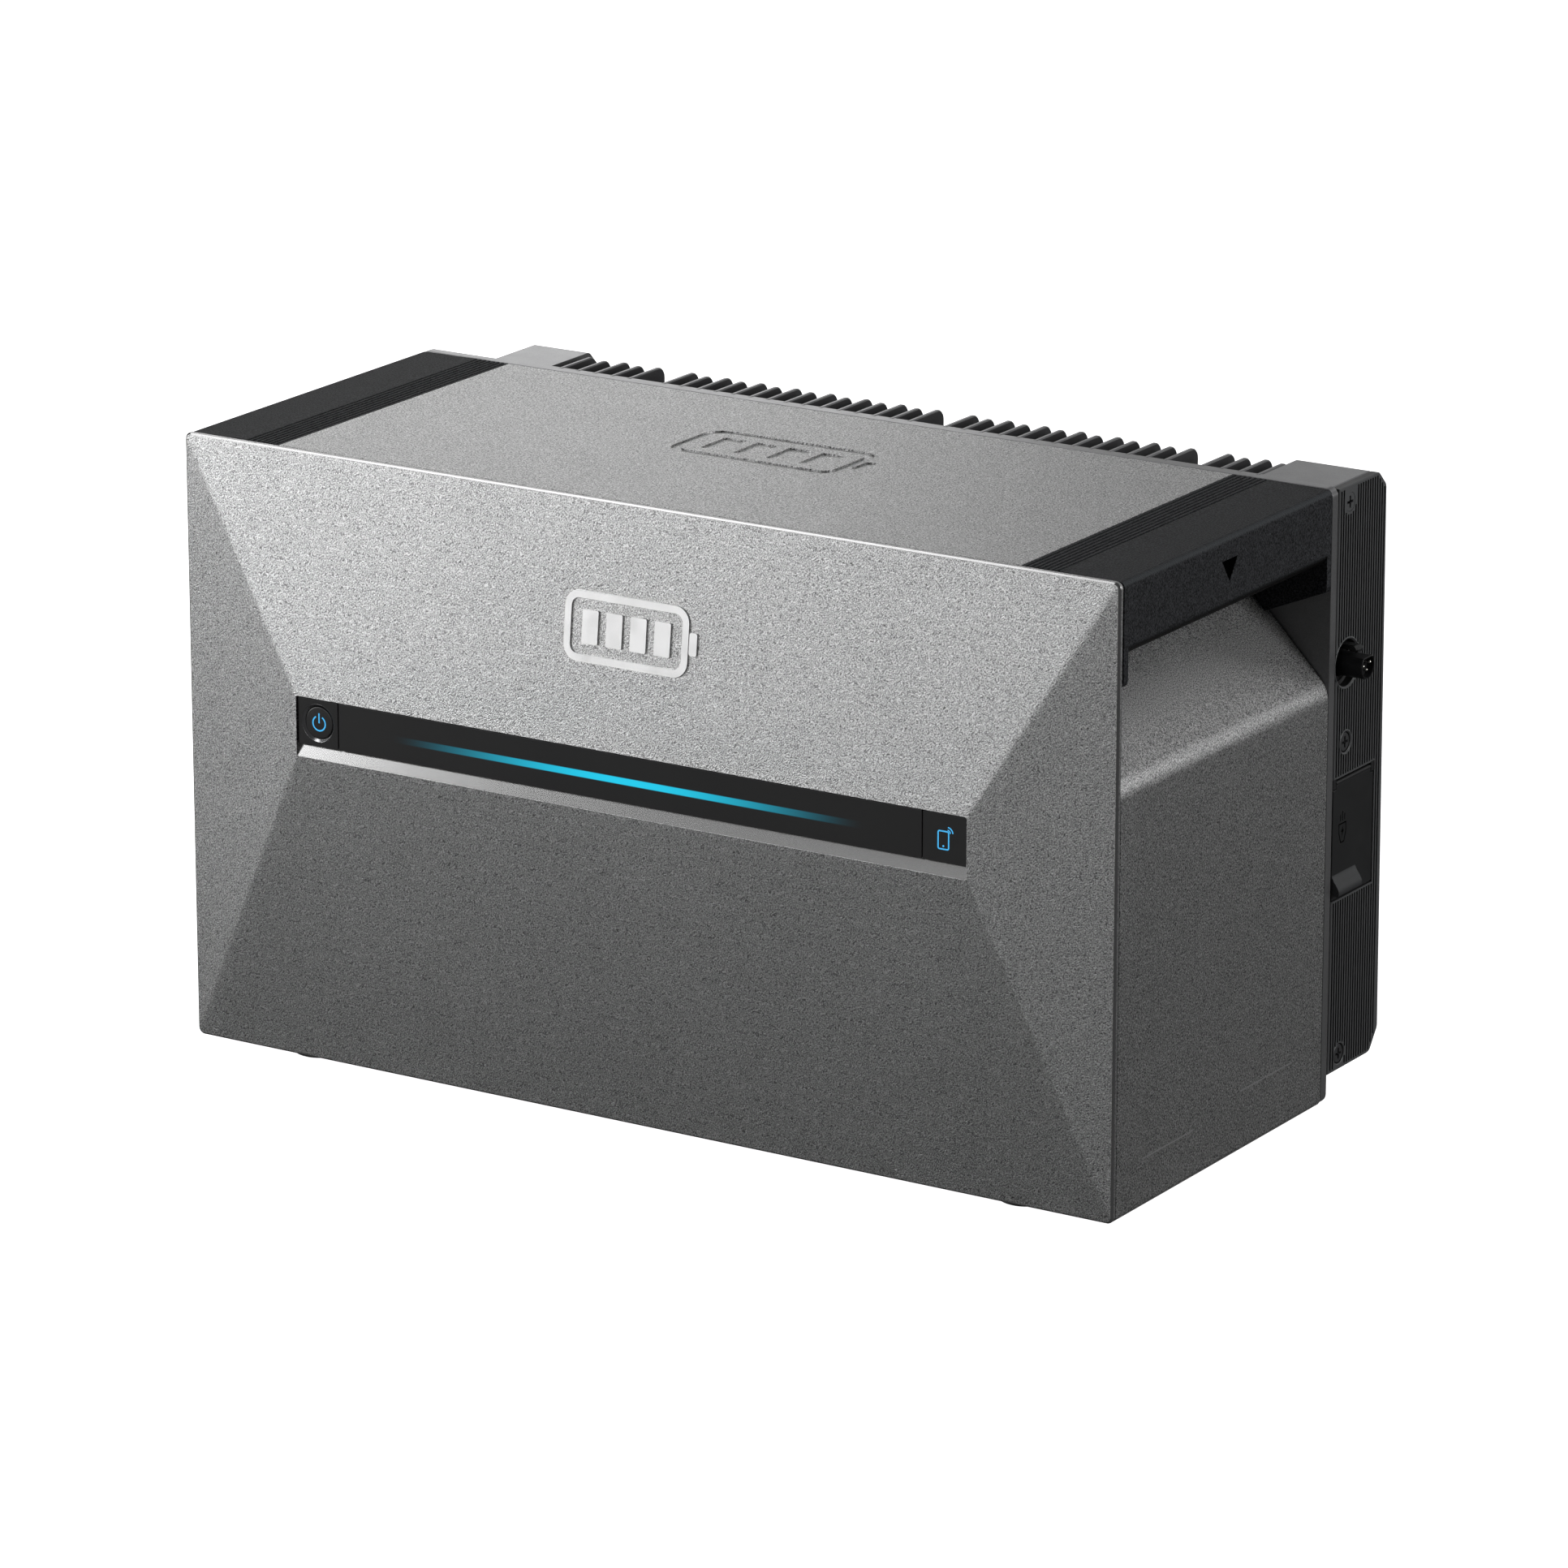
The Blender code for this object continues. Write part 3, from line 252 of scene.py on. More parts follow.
def glowing_window():
    """Smoked gloss with a thin blue light behind it, brightest in the middle and fading to both ends."""
    made, tree, shader = new_material("smoked_window_with_light")
    vector = object_coordinates(tree)
    fine = noise(tree, vector, 0.0012)
    x, _, z = axes(tree, vector)
    along = between(tree, calculate(tree, "ABSOLUTE", x), 1.0, 0.0, 0.004, GLOW_HALF_LENGTH,
                    interpolation_type="SMOOTHSTEP")
    aside = calculate(tree, "ABSOLUTE", calculate(tree, "SUBTRACT", z, BASE_Z + GLOW_HEIGHT))
    half_blur = 0.0002
    across = between(tree, aside, 1.0, 0.0, GLOW_HALF_THICKNESS - half_blur, GLOW_HALF_THICKNESS + half_blur)
    power = calculate(tree, "MULTIPLY", along, across)
    connect(tree, shader, {"Base Color": tinted(tree, noise(tree, vector, 0.05), SMOKED_BLACK, 0.06),
                           "Roughness": between(tree, fine, 0.295, 0.305),
                           "Normal": relief(tree, fine, 0.0000004),
                           "Emission Strength": calculate(tree, "MULTIPLY", power, 0.95),
                           "Emission Color": (0.003, 0.62, 0.88, 1.0)})
    return made


def glowing_icon():
    made, tree, shader = new_material("blue_icon_light")
    fine = noise(tree, object_coordinates(tree), 0.0015)
    connect(tree, shader, {"Base Color": tinted(tree, fine, (0.05, 0.30, 0.60), 0.08), "Roughness": 0.4,
                           "Emission Strength": between(tree, fine, 0.62, 0.72),
                           "Emission Color": (0.055, 0.46, 0.86, 1.0)})
    return made


def grey(level):
    return (level, level, level)


SHELL_GREY, SMOKED_BLACK, CAST_GREY = grey(0.40), (0.022, 0.022, 0.0225), (0.22, 0.22, 0.225)

# Every finish by name: the record's material slots and some finer ones.
MATERIALS = {
    "grey_shell": surface("metallic_grey_paint", SHELL_GREY, 0.36, (0.00054, 0.00022), 0.9, tint=0.02,
                          spread=0.01, speckle=0.95, patch=0.08, stretch=(0.6, 1.0, 1.0), slant=45.0),
    "front_shell": surface("metallic_grey_front", SHELL_GREY, 0.34, (0.00039, 0.00018), 0.9, tint=0.02,
                           spread=0.01, speckle=0.80, patch=0.08, stretch=(0.6, 1.0, 1.0), slant=50.0),
    "rim_grey": surface("smooth_grey_rim", SHELL_GREY, 0.22, (0.0006, 0.000002), 0.9, tint=0.02, spread=0.01),
    # The handles' finish carries a painted highlight on their upper roundings and painted shade under their
    # lips.
    "black_handle": surface("black_grained_plastic", (0.0235, 0.0244, 0.0266), 0.55, (0.0007, 0.00040),
                            tint=0.04, spread=0.01, speckle=1.0, shine=0.07, over=paint_handle_light_and_shade),
    "bright_trim": surface("satin_bright_metal", grey(0.42), 0.20, (0.0004, 0.0000002), 1.0, tint=0.01,
                           spread=0.002, stretch=(0.02, 1.0, 1.0)),
    "strip_black": surface("smoked_gloss", SMOKED_BLACK, 0.30, (0.0012, 0.0000004), tint=0.03, spread=0.005),
    "silicone": surface("silicone_rubber", (0.35, 0.36, 0.37), 0.6, (0.0005, 0.00001)),
    "diffuser": surface("milky_light_guide", (0.75, 0.88, 0.92), 0.35, (0.001, 0.000005)),
    "board_green": surface("circuit_board", (0.015, 0.11, 0.05), 0.4, (0.0015, 0.00003), tint=0.25, patch=0.012),
    # black_cover carries painted shade: its colour goes to black below the side covers' outer faces.
    "black_cover": surface("black_satin_plastic", (0.070, 0.072, 0.074), 0.42, (0.0004, 0.00003), tint=0.06,
                           spread=0.03, over=paint_groove_shade),
    "flap_black": surface("black_flap_plastic", (0.013, 0.0135, 0.014), 0.45, (0.0004, 0.00002), tint=0.10,
                          spread=0.04, shine=0.3),
    "pull_black": surface("black_pull_plastic", (0.022, 0.0235, 0.025), 0.50, (0.0004, 0.00002), tint=0.08,
                          spread=0.04),
    "steel": surface("zinc_plated_steel", (0.55, 0.55, 0.54), 0.34, (0.0008, 0.00001), 1.0, tint=0.08,
                     patch=0.02),
    "black_screw": surface("black_oxide", (0.050, 0.051, 0.053), 0.42, (0.0004, 0.000008), 0.3, tint=0.08),
    "rubber_black": surface("matt_rubber", grey(0.018), 0.82, (0.0007, 0.00005), tint=0.15),
    "cast_metal": surface("powder_coated_casting", CAST_GREY, 0.31, (0.0006, 0.00004), 0.70, spread=0.02,
                          speckle=0.10),
    # The fins' finish carries painted shade: their broad sides are darker than their edges.
    "fin_metal": surface("powder_coated_fins", CAST_GREY, 0.36, (0.0006, 0.00004), 0.60, spread=0.02,
                         speckle=0.10, over=paint_fin_side_shade),
    "outlet_black": surface("smooth_black_plastic", (0.010, 0.010, 0.011), 0.4, (0.0006, 0.000006), shine=0.3),
    "cell_blue": surface("blue_insulating_film", (0.02, 0.08, 0.26), 0.35, (0.004, 0.00008), tint=0.12),
    "insulator": surface("insulating_sheet", (0.70, 0.66, 0.52), 0.6, (0.0012, 0.00004), tint=0.08),
    "copper": surface("enamelled_copper", (0.62, 0.27, 0.12), 0.32, (0.0010, 0.00012), 1.0, tint=0.10,
                      stretch=(1.0, 12.0, 1.0)),
    "mark_white": surface("bright_mark", grey(0.92), 0.34, (0.0006, 0.00001), 0.85, tint=0.02),
    "print_grey": surface("light_grey_print", grey(0.30), 0.55, (0.0007, 0.00001)),
    "print_side": surface("faint_grey_print", grey(0.17), 0.5, (0.0007, 0.00001)),
    # Ink for printed marks, and also painted shade in the screws' cross recesses.
    "ink_black": surface("black_ink_and_recess_shade", grey(0.0008), 0.9, (0.0006, 0.00001), tint=0.10, shine=0.0),
    "pin_metal": surface("plated_contact", (0.80, 0.78, 0.72), 0.22, (0.0005, 0.000003), 1.0, tint=0.04),
    "ring_metal": surface("satin_ring", (0.45, 0.45, 0.46), 0.24, (0.0005, 0.000003), 1.0, tint=0.04),
    "plus_red": surface("red_marker_ring", (0.45, 0.02, 0.02), 0.45, (0.0006, 0.00001), tint=0.06),
    "window": glowing_window(),
    "icon_blue": glowing_icon(),
}


# --- outlines

def rounded(corners, steps=8):
    """An outline from corners (u, v, radius), each radius drawn as an arc."""
    points = []
    for index, (u, v, radius) in enumerate(corners):
        corner = Vector((u, v))
        if radius == 0:
            points.append(corner)
            continue
        before = Vector(corners[index - 1][:2]) - corner
        after = Vector(corners[(index + 1) % len(corners)][:2]) - corner
        half_angle = before.angle(after) / 2
        before.normalize()
        after.normalize()
        centre = corner + (before + after).normalized() * radius / math.sin(half_angle)
        first = corner + before * radius / math.tan(half_angle) - centre
        last = corner + after * radius / math.tan(half_angle) - centre
        sweep = first.angle_signed(last)
        for step in range(steps + 1):
            angle = -sweep * step / steps
            points.append(centre + Vector((first.x * math.cos(angle) - first.y * math.sin(angle),
                                           first.x * math.sin(angle) + first.y * math.cos(angle))))
    return points


def inset(corners, distance):
    """The same corners with every edge moved inwards."""
    moved = []
    for index, (u, v, radius) in enumerate(corners):
        corner = Vector((u, v))
        arriving = (corner - Vector(corners[index - 1][:2])).normalized()
        leaving = (Vector(corners[(index + 1) % len(corners)][:2]) - corner).normalized()
        turn = arriving.x * leaving.y - arriving.y * leaving.x
        inward = Vector((-arriving.y, arriving.x)) + Vector((-leaving.y, leaving.x))
        inward.normalize()
        new = corner + inward * (distance / inward.dot(Vector((-leaving.y, leaving.x))))
        if radius > 0:
            radius = max(radius - math.copysign(distance, turn), 0.0003)
        moved.append((new.x, new.y, radius))
    return moved


def rectangle(low_u, high_u, low_v, high_v, radius=0.0):
    return [(low_u, low_v, radius), (high_u, low_v, radius), (high_u, high_v, radius), (low_u, high_v, radius)]


def around(u, v, half_width, half_height, radius=0.0):
    """A rectangle round its middle."""
    return rectangle(u - half_width, u + half_width, v - half_height, v + half_height, radius)


def circle(centre_u, centre_v, radius, sides=48):
    return [Vector((centre_u + radius * math.cos(2 * math.pi * index / sides),
                    centre_v + radius * math.sin(2 * math.pi * index / sides))) for index in range(sides)]


def arc_points(centre, radius, start_degrees, end_degrees, steps):
    points = []
    for step in range(steps + 1):
        angle = math.radians(start_degrees + (end_degrees - start_degrees) * step / steps)
        points.append(Vector((centre[0] + radius * math.cos(angle), centre[1] + radius * math.sin(angle))))
    return points


def shifted(points, u, v):
    return [Vector((u + a, v + b)) for a, b in points]


def across_x(outline, x):
    return [place(x, u, v) for u, v in outline]


def across_y(outline, depth):
    return [place(u, depth, v) for u, v in outline]


def across_z(outline, height):
    return [place(u, v, height) for u, v in outline]


# --- rings of solid bodies

def prism(across, outline, *ends):
    return [across(outline, end) for end in ends]


def box_rings(low_x, high_x, *bounds):
    """A plain box: the bounds are its low and high depth and its low and high height."""
    return prism(across_x, rounded(rectangle(*bounds)), low_x, high_x)


def turned(across, centre, profile, sides=48):
    """A turned body: the profile holds (place along the axis, radius)."""
    return [across(circle(*centre, radius, sides), along) for along, radius in profile]


def edge_turn(ring, ease, start, way, steps=3):
    """Rings round the eased edge of an end face, where ring(inwards, along) draws one of them."""
    rings = []
    for step in range(steps + 1):
        angle = math.pi / 2 * step / steps
        rings.append(ring(ease * (1 - math.sin(angle)), start + way * ease * (1 - math.cos(angle))))
    return rings


def eased_ends(ring, start, end, start_ease, end_ease, steps=3):
    way = math.copysign(1.0, end - start)
    return edge_turn(ring, start_ease, start, way, steps) + edge_turn(ring, end_ease, end, -way, steps)[::-1]


def soft_block(across, outline, start, end, ease):
    """A block whose outline runs from start to end, with both ends' edges rounded."""
    return eased_ends(lambda inwards, along: across(rounded(inset(outline, inwards)), along),
                      start, end, ease, ease)


def eased_slab(outline, low_x, high_x, ease):
    """A slab across x with a small chamfer round both faces."""
    tight = rounded(inset(outline, ease))
    return [across_x(tight, low_x), *prism(across_x, rounded(outline), low_x + ease, high_x - ease),
            across_x(tight, high_x)]


def mirrored(rings, side):
    return [[Vector((side * point.x, point.y, point.z)) for point in ring] for ring in rings]


def stroke_loft(points, width, front, back, closed=False):
    """A solid line through the points: front and back turn (u, v) into places on its two faces."""
    rings = []
    count = len(points)
    for index, point in enumerate(points):
        before = points[index - 1] if index or closed else point
        after = points[(index + 1) % count] if index + 1 < count or closed else point
        arriving = (point - before).normalized() if (point - before).length else (after - point).normalized()
        leaving = (after - point).normalized() if (after - point).length else arriving
        normal = Vector((-arriving.y - leaving.y, arriving.x + leaving.x)).normalized()
        reach = width / 2 / max(0.35, normal.dot(Vector((-leaving.y, leaving.x))))
        left, right = point + normal * reach, point - normal * reach
        rings.append([front(*left), front(*right), back(*right), back(*left)])
    return rings


def plate_loft(outline, front, back):
    return [[side(*point) for point in outline] for side in (front, back)]


def on_front(depth, middle_x=0.0, middle_height=0.0):
    return lambda u, v: place(middle_x + u, depth, middle_height + v)


def on_side(x):
    return lambda u, v: place(x, u, v)


def on_top(height):
    return lambda u, v: place(u, v, height)


def on_slope(lift):
    """Places on the front cover's faces above and below the light strip."""
    def spot(u, v):
        if v > SLOT_HIGH:
            return place(u, -RIDGE * (HEIGHT - v) / (HEIGHT - SLOT_HIGH) - lift, v)
        return place(u, -RIDGE * v / SLOT_LOW - lift, v)
    return spot


def battery_mark(u, v, width):
    """A plain battery pictogram: the closed line of its body, that line's width, and the filled plates."""
    height = width * 0.46
    body = rounded(around(u, v, width / 2, height / 2, height * 0.2), 6)
    plates = [rounded(rectangle(u + width * 0.535, u + width * 0.60, v - height * 0.18, v + height * 0.18,
                                width * 0.015), 4)]
    for index in (-1.5, -0.5, 0.5, 1.5):
        bar = around(u + width * 0.205 * index, v, width * 0.068, height * 0.27, width * 0.012)
        plates.append(rounded(bar, 4))
    return body, width * 0.055, plates


# --- pieces

def add_loft(shell, rings, looped):
    loops = [[shell.verts.new(point) for point in ring] for ring in rings]
    pairs = list(zip(loops, loops[1:]))
    if looped:
        pairs.append((loops[-1], loops[0]))
    else:
        shell.faces.new(loops[0])
        shell.faces.new(loops[-1])
    for first, second in pairs:
        for index in range(len(first)):
            after = (index + 1) % len(first)
            shell.faces.new((first[index], first[after], second[after], second[index]))


def shade(made, degrees):
    """Smooth shading that leaves wide flat faces flat and puts the turn into the narrow ones."""
    made.data.shade_smooth()
    made.data.set_sharp_from_angle(angle=math.radians(degrees))
    made.modifiers.new("even_normals", "WEIGHTED_NORMAL").keep_sharp = True


def piece(name, lofts, finish, looped=False, smooth=30):
    """One object from lists of rings, each list a closed body."""
    mesh = bpy.data.meshes.new(name)
    shell = bmesh.new()
    for rings in lofts:
        add_loft(shell, rings, looped)
    bmesh.ops.recalc_face_normals(shell, faces=shell.faces)
    shell.to_mesh(mesh)
    shell.free()
    made = add_object(name, mesh)
    mesh.materials.append(MATERIALS[finish])
    shade(made, smooth)
    return made


def paint(mesh, finish):
    """Gives the whole mesh one finish."""
    mesh.materials.clear()
    mesh.materials.append(finish)
    mesh.polygons.foreach_set("material_index", [0] * len(mesh.polygons))


def carve(target, lofts, looped=False, smooth=30):
    """Cuts the lofts out of the target."""
    finish = target.data.materials[0]
    helper = piece("helper", lofts, "grey_shell", looped=looped)
    helper.modifiers.clear()
    target.modifiers.clear()
    step = target.modifiers.new("carve", "BOOLEAN")
    step.operation = "DIFFERENCE"
    step.object = helper
    step.solver = "EXACT"
    bpy.context.view_layer.update()
    graph = bpy.context.evaluated_depsgraph_get()
    made = bpy.data.meshes.new_from_object(target.evaluated_get(graph))
    target.modifiers.clear()
    target.data = made
    paint(made, finish)
    bpy.data.objects.remove(helper, do_unlink=True)
    shade(target, smooth)


def settle(made, slot, *nodes, body="unit"):
    """Makes the piece ride on its body and stand for the CAD nodes that it shows in detail."""
    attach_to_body(made, body)
    if nodes:
        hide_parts(*nodes)


def show(name, lofts, finish, slot, *nodes, body="unit", **options):
    """A piece that needs no carving."""
    settle(piece(name, lofts, finish, **options), slot, *nodes, body=body)


# --- front cover and strip

def cover_ring(half_width, low, high, radius, depth):
    return across_y(rounded(rectangle(-half_width, half_width, low, high, radius)), depth)


def rim_ring(inwards, radius, depth):
    """A ring inside the outline of the case."""
    return cover_ring(HALF_WIDTH - inwards, inwards, HEIGHT - inwards, radius, depth)


def slot_ring(out, depth):
    return cover_ring(SLOT_HALF_WIDTH + out, SLOT_LOW - out, SLOT_HIGH + out, SLOT_RADIUS + out, depth)


def make_front_cover():
    _, (_, back), _ = spans("front_cover")
    corner, front_at_edge, bevel, ease, rim_width, lip = 0.0030, -0.00015, 0.00085, 0.0003, 0.0030, 0.00015
    slot_back, inside_rim, inside_front = -0.0077, 0.0034, 0.0014
    # The rim in section, as (how far in from the outline, depth): straight side, bevel, then the facet.
    rim = rounded([(0.0, back, 0), (0.0, bevel + front_at_edge, ease), (bevel, front_at_edge, ease),
                   (rim_width, front_at_edge - rim_width * RIDGE / (HEIGHT - SLOT_HIGH), 0)], 5)
    rings = [rim_ring(inwards, corner - inwards, depth) for inwards, depth in rim[:-1]]
    rings += edge_turn(slot_ring, lip, -RIDGE, 1)
    rings += [
        slot_ring(0.0, slot_back),
        cover_ring(SLOT_HALF_WIDTH + 0.0023, SLOT_LOW - 0.0025, SLOT_HIGH + 0.0025, SLOT_RADIUS, slot_back),
        rim_ring(inside_rim, 0.0010, inside_front),
        rim_ring(WALL, 0.0010, back),
    ]
    made = piece("front_cover_skin", [rings], "front_shell", looped=True, smooth=14)
    made.data.materials.append(MATERIALS["rim_grey"])
    sides = len(rings[0])
    for face in made.data.polygons[sides:(len(rim) - 2) * sides]:
        face.material_index = 1
    settle(made, "grey_shell", "front_cover")


def make_front_marks():
    """Plain pictograms in the places where such units carry their print."""
    body, line, plates = battery_mark(-0.001, 0.2165, 0.058)
    front, back = on_slope(0.0007), on_slope(-0.0003)
    show("front_battery_mark", [plate_loft(plate, front, back) for plate in plates], "mark_white",
         "bright_trim")
    show("front_battery_outline", [stroke_loft(body, line, front, back, True)], "mark_white", "bright_trim",
         looped=True)
    front, back = on_slope(0.00006), on_slope(-0.0002)
    lofts = [plate_loft(rounded(around(x, 0.0215, 0.0045, 0.0020, 0.0012), 4), front, back)
             for x in (-0.0105, 0.0035, 0.0175)]
    show("front_print_bars", lofts, "print_grey", "grey_shell")


def make_strip():
    across, (front, back), heights = spans("lightbar_window")
    block = soft_block(across_y, rectangle(*across, *heights, 0.0006), front, back, 0.00025)
    show("strip_window", [block], "window", "strip_black", "lightbar_window", smooth=40)
    _, (_, back), (_, high) = spans("lightbar_trim")
    front, tilt, low = 0.0001 - RIDGE, 0.00247, SLOT_LOW - 0.0003
    profile = rounded([(front, low, 0.0001), (back, low, 0), (back, high, 0), (front + tilt, high, 0.0002)], 5)
    reach = SLOT_HALF_WIDTH - 0.0001
    show("bright_sill", [prism(across_x, profile, -reach, reach)], "bright_trim", "bright_trim",
         "lightbar_trim")


def make_power_button():
    across, (front, back), heights = spans("power_button_frame")
    block = soft_block(across_y, rectangle(*across, *heights, 0.0008), front, back, 0.0002)
    bezel = piece("power_button_bezel", [block], "strip_black")
    centre = (middle(spans("power_button")[0]), middle(heights))
    outer, inner, floor = 0.0084, 0.0071, front + 0.0013
    dish = [(front - 0.0005, outer + 0.0002), (front + 0.00001, outer), (floor, inner), (back + 0.0005, inner)]
    carve(bezel, [turned(across_y, centre, dish, 72)])
    settle(bezel, "strip_black", "power_button_frame")
    slope = [(front, outer - 0.0001), (front + 0.00005, outer - 0.0002), (floor - 0.0001, inner + 0.0001),
             (floor + 0.0001, inner + 0.0001), (floor, inner + 0.0005), (front + 0.0002, outer + 0.0001)]
    show("power_button_ring", [turned(across_y, centre, slope, 72)], "ring_metal", "strip_black", looped=True,
         smooth=50)
    radius, front = 0.0069, -0.0093
    profile = [(front, 0.0010), (front, radius - 0.0004), (front + 0.00012, radius - 0.0001),
               (front + 0.0004, radius), (-0.0075, radius), (-0.0074, 0.0080), (-0.0066, 0.0080),
               (-0.0065, 0.0020), (-0.0044, 0.0020)]
    show("power_button_cap", [turned(across_y, centre, profile, 72)], "strip_black", "strip_black",
         "power_button", smooth=35, body="power_button")
    faces = on_front(front - PRINT_LIFT, *centre), on_front(front + PRINT_SINK, *centre)
    line, gap = 0.00062, 30
    loop = stroke_loft(arc_points((0, -0.0003), 0.0032, 90 + gap, 450 - gap, 40), line, *faces)
    bar = stroke_loft([Vector((0, -0.0002)), Vector((0, 0.0042))], line, *faces)
    show("power_icon", [loop, bar], "icon_blue", "diffuser", body="power_button")


def make_pairing_key():
    across, (front, back), heights = spans("pairing_key")
    block = soft_block(across_y, rectangle(*across, *heights, 0.0008), front, -0.0070, 0.0002)
    show("pairing_key_cap", [block], "strip_black", "strip_black", "pairing_key", body="pairing_key")
    centre = (middle(across), middle(heights))
    stem = turned(across_y, centre, [(-0.0072, 0.0022), (back, 0.0020)], 24)
    show("pairing_key_stem", [stem], "strip_black", "strip_black", body="pairing_key")
    faces = on_front(front - PRINT_LIFT, *centre), on_front(front + PRINT_SINK, *centre)
    phone = rounded(rectangle(-0.0030, 0.0020, -0.0046, 0.0030, 0.0007), 4)
    show("phone_icon_outline", [stroke_loft(phone, 0.0006, *faces, True)], "icon_blue", "diffuser", looped=True,
         body="pairing_key")
    waves = [stroke_loft(arc_points((0.0014, 0.0023), radius, 5, 85, 10), 0.0005, *faces)
             for radius in (0.0014, 0.0026)]
    dot = plate_loft(circle(-0.0005, -0.0033, 0.00045, 16), *faces)
    show("phone_icon_waves", waves + [dot], "icon_blue", "diffuser", body="pairing_key")


def make_domes():
    """The silicone domes behind the two buttons."""
    for name, joint, travel in (("power_button_dome", "power_button_press", 0.0008),
                                ("pairing_key_dome", "pairing_key_press", 0.0006)):
        across, (front, back), heights = spans(name)
        centre = (middle(across), middle(heights))
        profile = [(front, 0.0014), (front + 0.00005, 0.0019), (front + 0.0002, 0.0022),
                   (front + 0.0004, 0.0026), (back - 0.0003, 0.0030), (back - 0.0001, 0.0034), (back, 0.0036)]
        dome = piece(f"{name}_soft", [turned(across_y, centre, profile, 32)], "silicone", smooth=50)
        settle(dome, "silicone", name)
        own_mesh(dome)


# --- housing and handles

def housing_corners():
    right = [
        (HALF_WIDTH, 0.0, 0.003),
        (HALF_WIDTH, POCKET_CREASE, 0.014),
        (POCKET_INNER, POCKET_TOP, 0.005),
        (POCKET_INNER, LEDGE, 0.0),
        (HANDLE_INNER, LEDGE, 0.0),
        (HANDLE_INNER, HEIGHT, 0.0),
    ]
    return right + [(-x, height, radius) for x, height, radius in reversed(right)]


def make_housing():
    _, (front, back), _ = spans("main_housing")
    outer, ease = housing_corners(), 0.0003
    rings = eased_ends(lambda inwards, depth: across_y(rounded(inset(outer, inwards), 10), depth),
                       front, back, ease, ease)
    rings += prism(across_y, rounded(inset(outer, WALL), 10), back, front)
    made = piece("housing_skin", [rings], "grey_shell", looped=True, smooth=28)
    body, line, plates = battery_mark(0.0, 0.105, 0.080)
    faces = on_top(HEIGHT + 0.001), on_top(HEIGHT - 0.0007)
    carve(made, [plate_loft(plate, *faces) for plate in plates], smooth=28)
    carve(made, [stroke_loft(body, line, *faces, True)], looped=True, smooth=28)
    settle(made, "grey_shell", "main_housing")


def handle_outline():
    outline = rounded([
        (HANDLE_INNER + GAP, LEDGE + GAP, 0),
        (POCKET_INNER + GAP, LEDGE + GAP, 0),
        (POCKET_INNER + GAP, 0.2320, 0),
        (0.1980, 0.2179, 0),
        (0.2013, 0.2146, 0),
        (HALF_WIDTH - 0.0005, 0.2264, 0.0006),
        (HALF_WIDTH, 0.2285, 0),
        (HALF_WIDTH, HEIGHT, HANDLE_CREASE),
    ], 14)
    half, third = GROOVE_WIDTH / 2, GROOVE_WIDTH / 3
    for index in reversed(range(GROOVE_COUNT)):
        centre = HANDLE_INNER + 0.0022 + GROOVE_PITCH * index
        for aside, depth in ((half, 0.0), (third, GROOVE_DEPTH), (-third, GROOVE_DEPTH), (-half, 0.0)):
            outline.append(Vector((centre + aside, HEIGHT - depth)))
    outline.append(Vector((HANDLE_INNER + GAP, HEIGHT)))
    return outline


def finger_space_outline():
    radius = LIP_THICKNESS / 2
    lip_inner, lip_middle, underside = HALF_WIDTH - LIP_THICKNESS, LIP_LOW + radius, LEDGE + GAP / 2
    outline = rounded([(0.1850, 0.2000, 0), (0.2400, 0.2000, 0), (0.2400, lip_middle, 0)])
    outline += arc_points((lip_inner + radius, lip_middle), radius, 0, -180, 16)
    outline += rounded([(lip_inner, lip_middle, 0), (lip_inner, underside, 0.005), (0.1850, underside, 0)])[1:]
    return outline


def make_handles():
    arrow = [Vector((0.0890, 0.2505)), Vector((0.0955, 0.2600)), Vector((0.0825, 0.2600))]
    for side, word in ((1, "right"), (-1, "left")):
        name = f"handle_{word}"
        _, (front, back), _ = spans(name)
        made = piece(f"{name}_grip", [mirrored(prism(across_y, handle_outline(), front, back), side)],
                     "black_handle", smooth=32)
        for cut in (prism(across_y, finger_space_outline(), front + WEB_THICKNESS, back - WEB_THICKNESS),
                    prism(across_x, arrow, HALF_WIDTH - 0.0005, HALF_WIDTH + 0.001)):
            carve(made, [mirrored(cut, side)], smooth=32)
        settle(made, "black_handle", name)
        insert = prism(across_x, arrow, HALF_WIDTH - 0.0006, HALF_WIDTH - 0.0002)
        show(f"alignment_arrow_{word}", [mirrored(insert, side)], "ink_black", "black_handle")


def make_side_print():
    """Two thin lines low on the right side of the housing."""
    faces = on_side(HALF_WIDTH + PRINT_LIFT), on_side(HALF_WIDTH - PRINT_SINK)
    lofts = [stroke_loft([Vector(start), Vector(end)], 0.0007, *faces) for start, end in SIDE_LINES]
    show("side_print_lines", lofts, "print_side", "grey_shell")


# --- heat sink and rear frame

def side_corners(front, top=SINK_TOP):
    """The rear unit seen from the side."""
    return [
        (front, SINK_BOTTOM, 0),
        (LOW_CHAMFER, SINK_BOTTOM, 0.004),
        (BODY_DEPTH, 0.0216, 0.004),
        (BODY_DEPTH - 0.00242, 0.2621 - SINK_TOP + top, 0.004),
        (TOP_CHAMFER, top, 0.004),
        (front, top, 0),
    ]


def upright(root, reach, low, high, radius):
    """A fin, rib or boss seen from the side, with its two rear corners rounded."""
    return [(root, low, 0), (reach, low, radius), (reach, high, radius), (root, high, 0)]


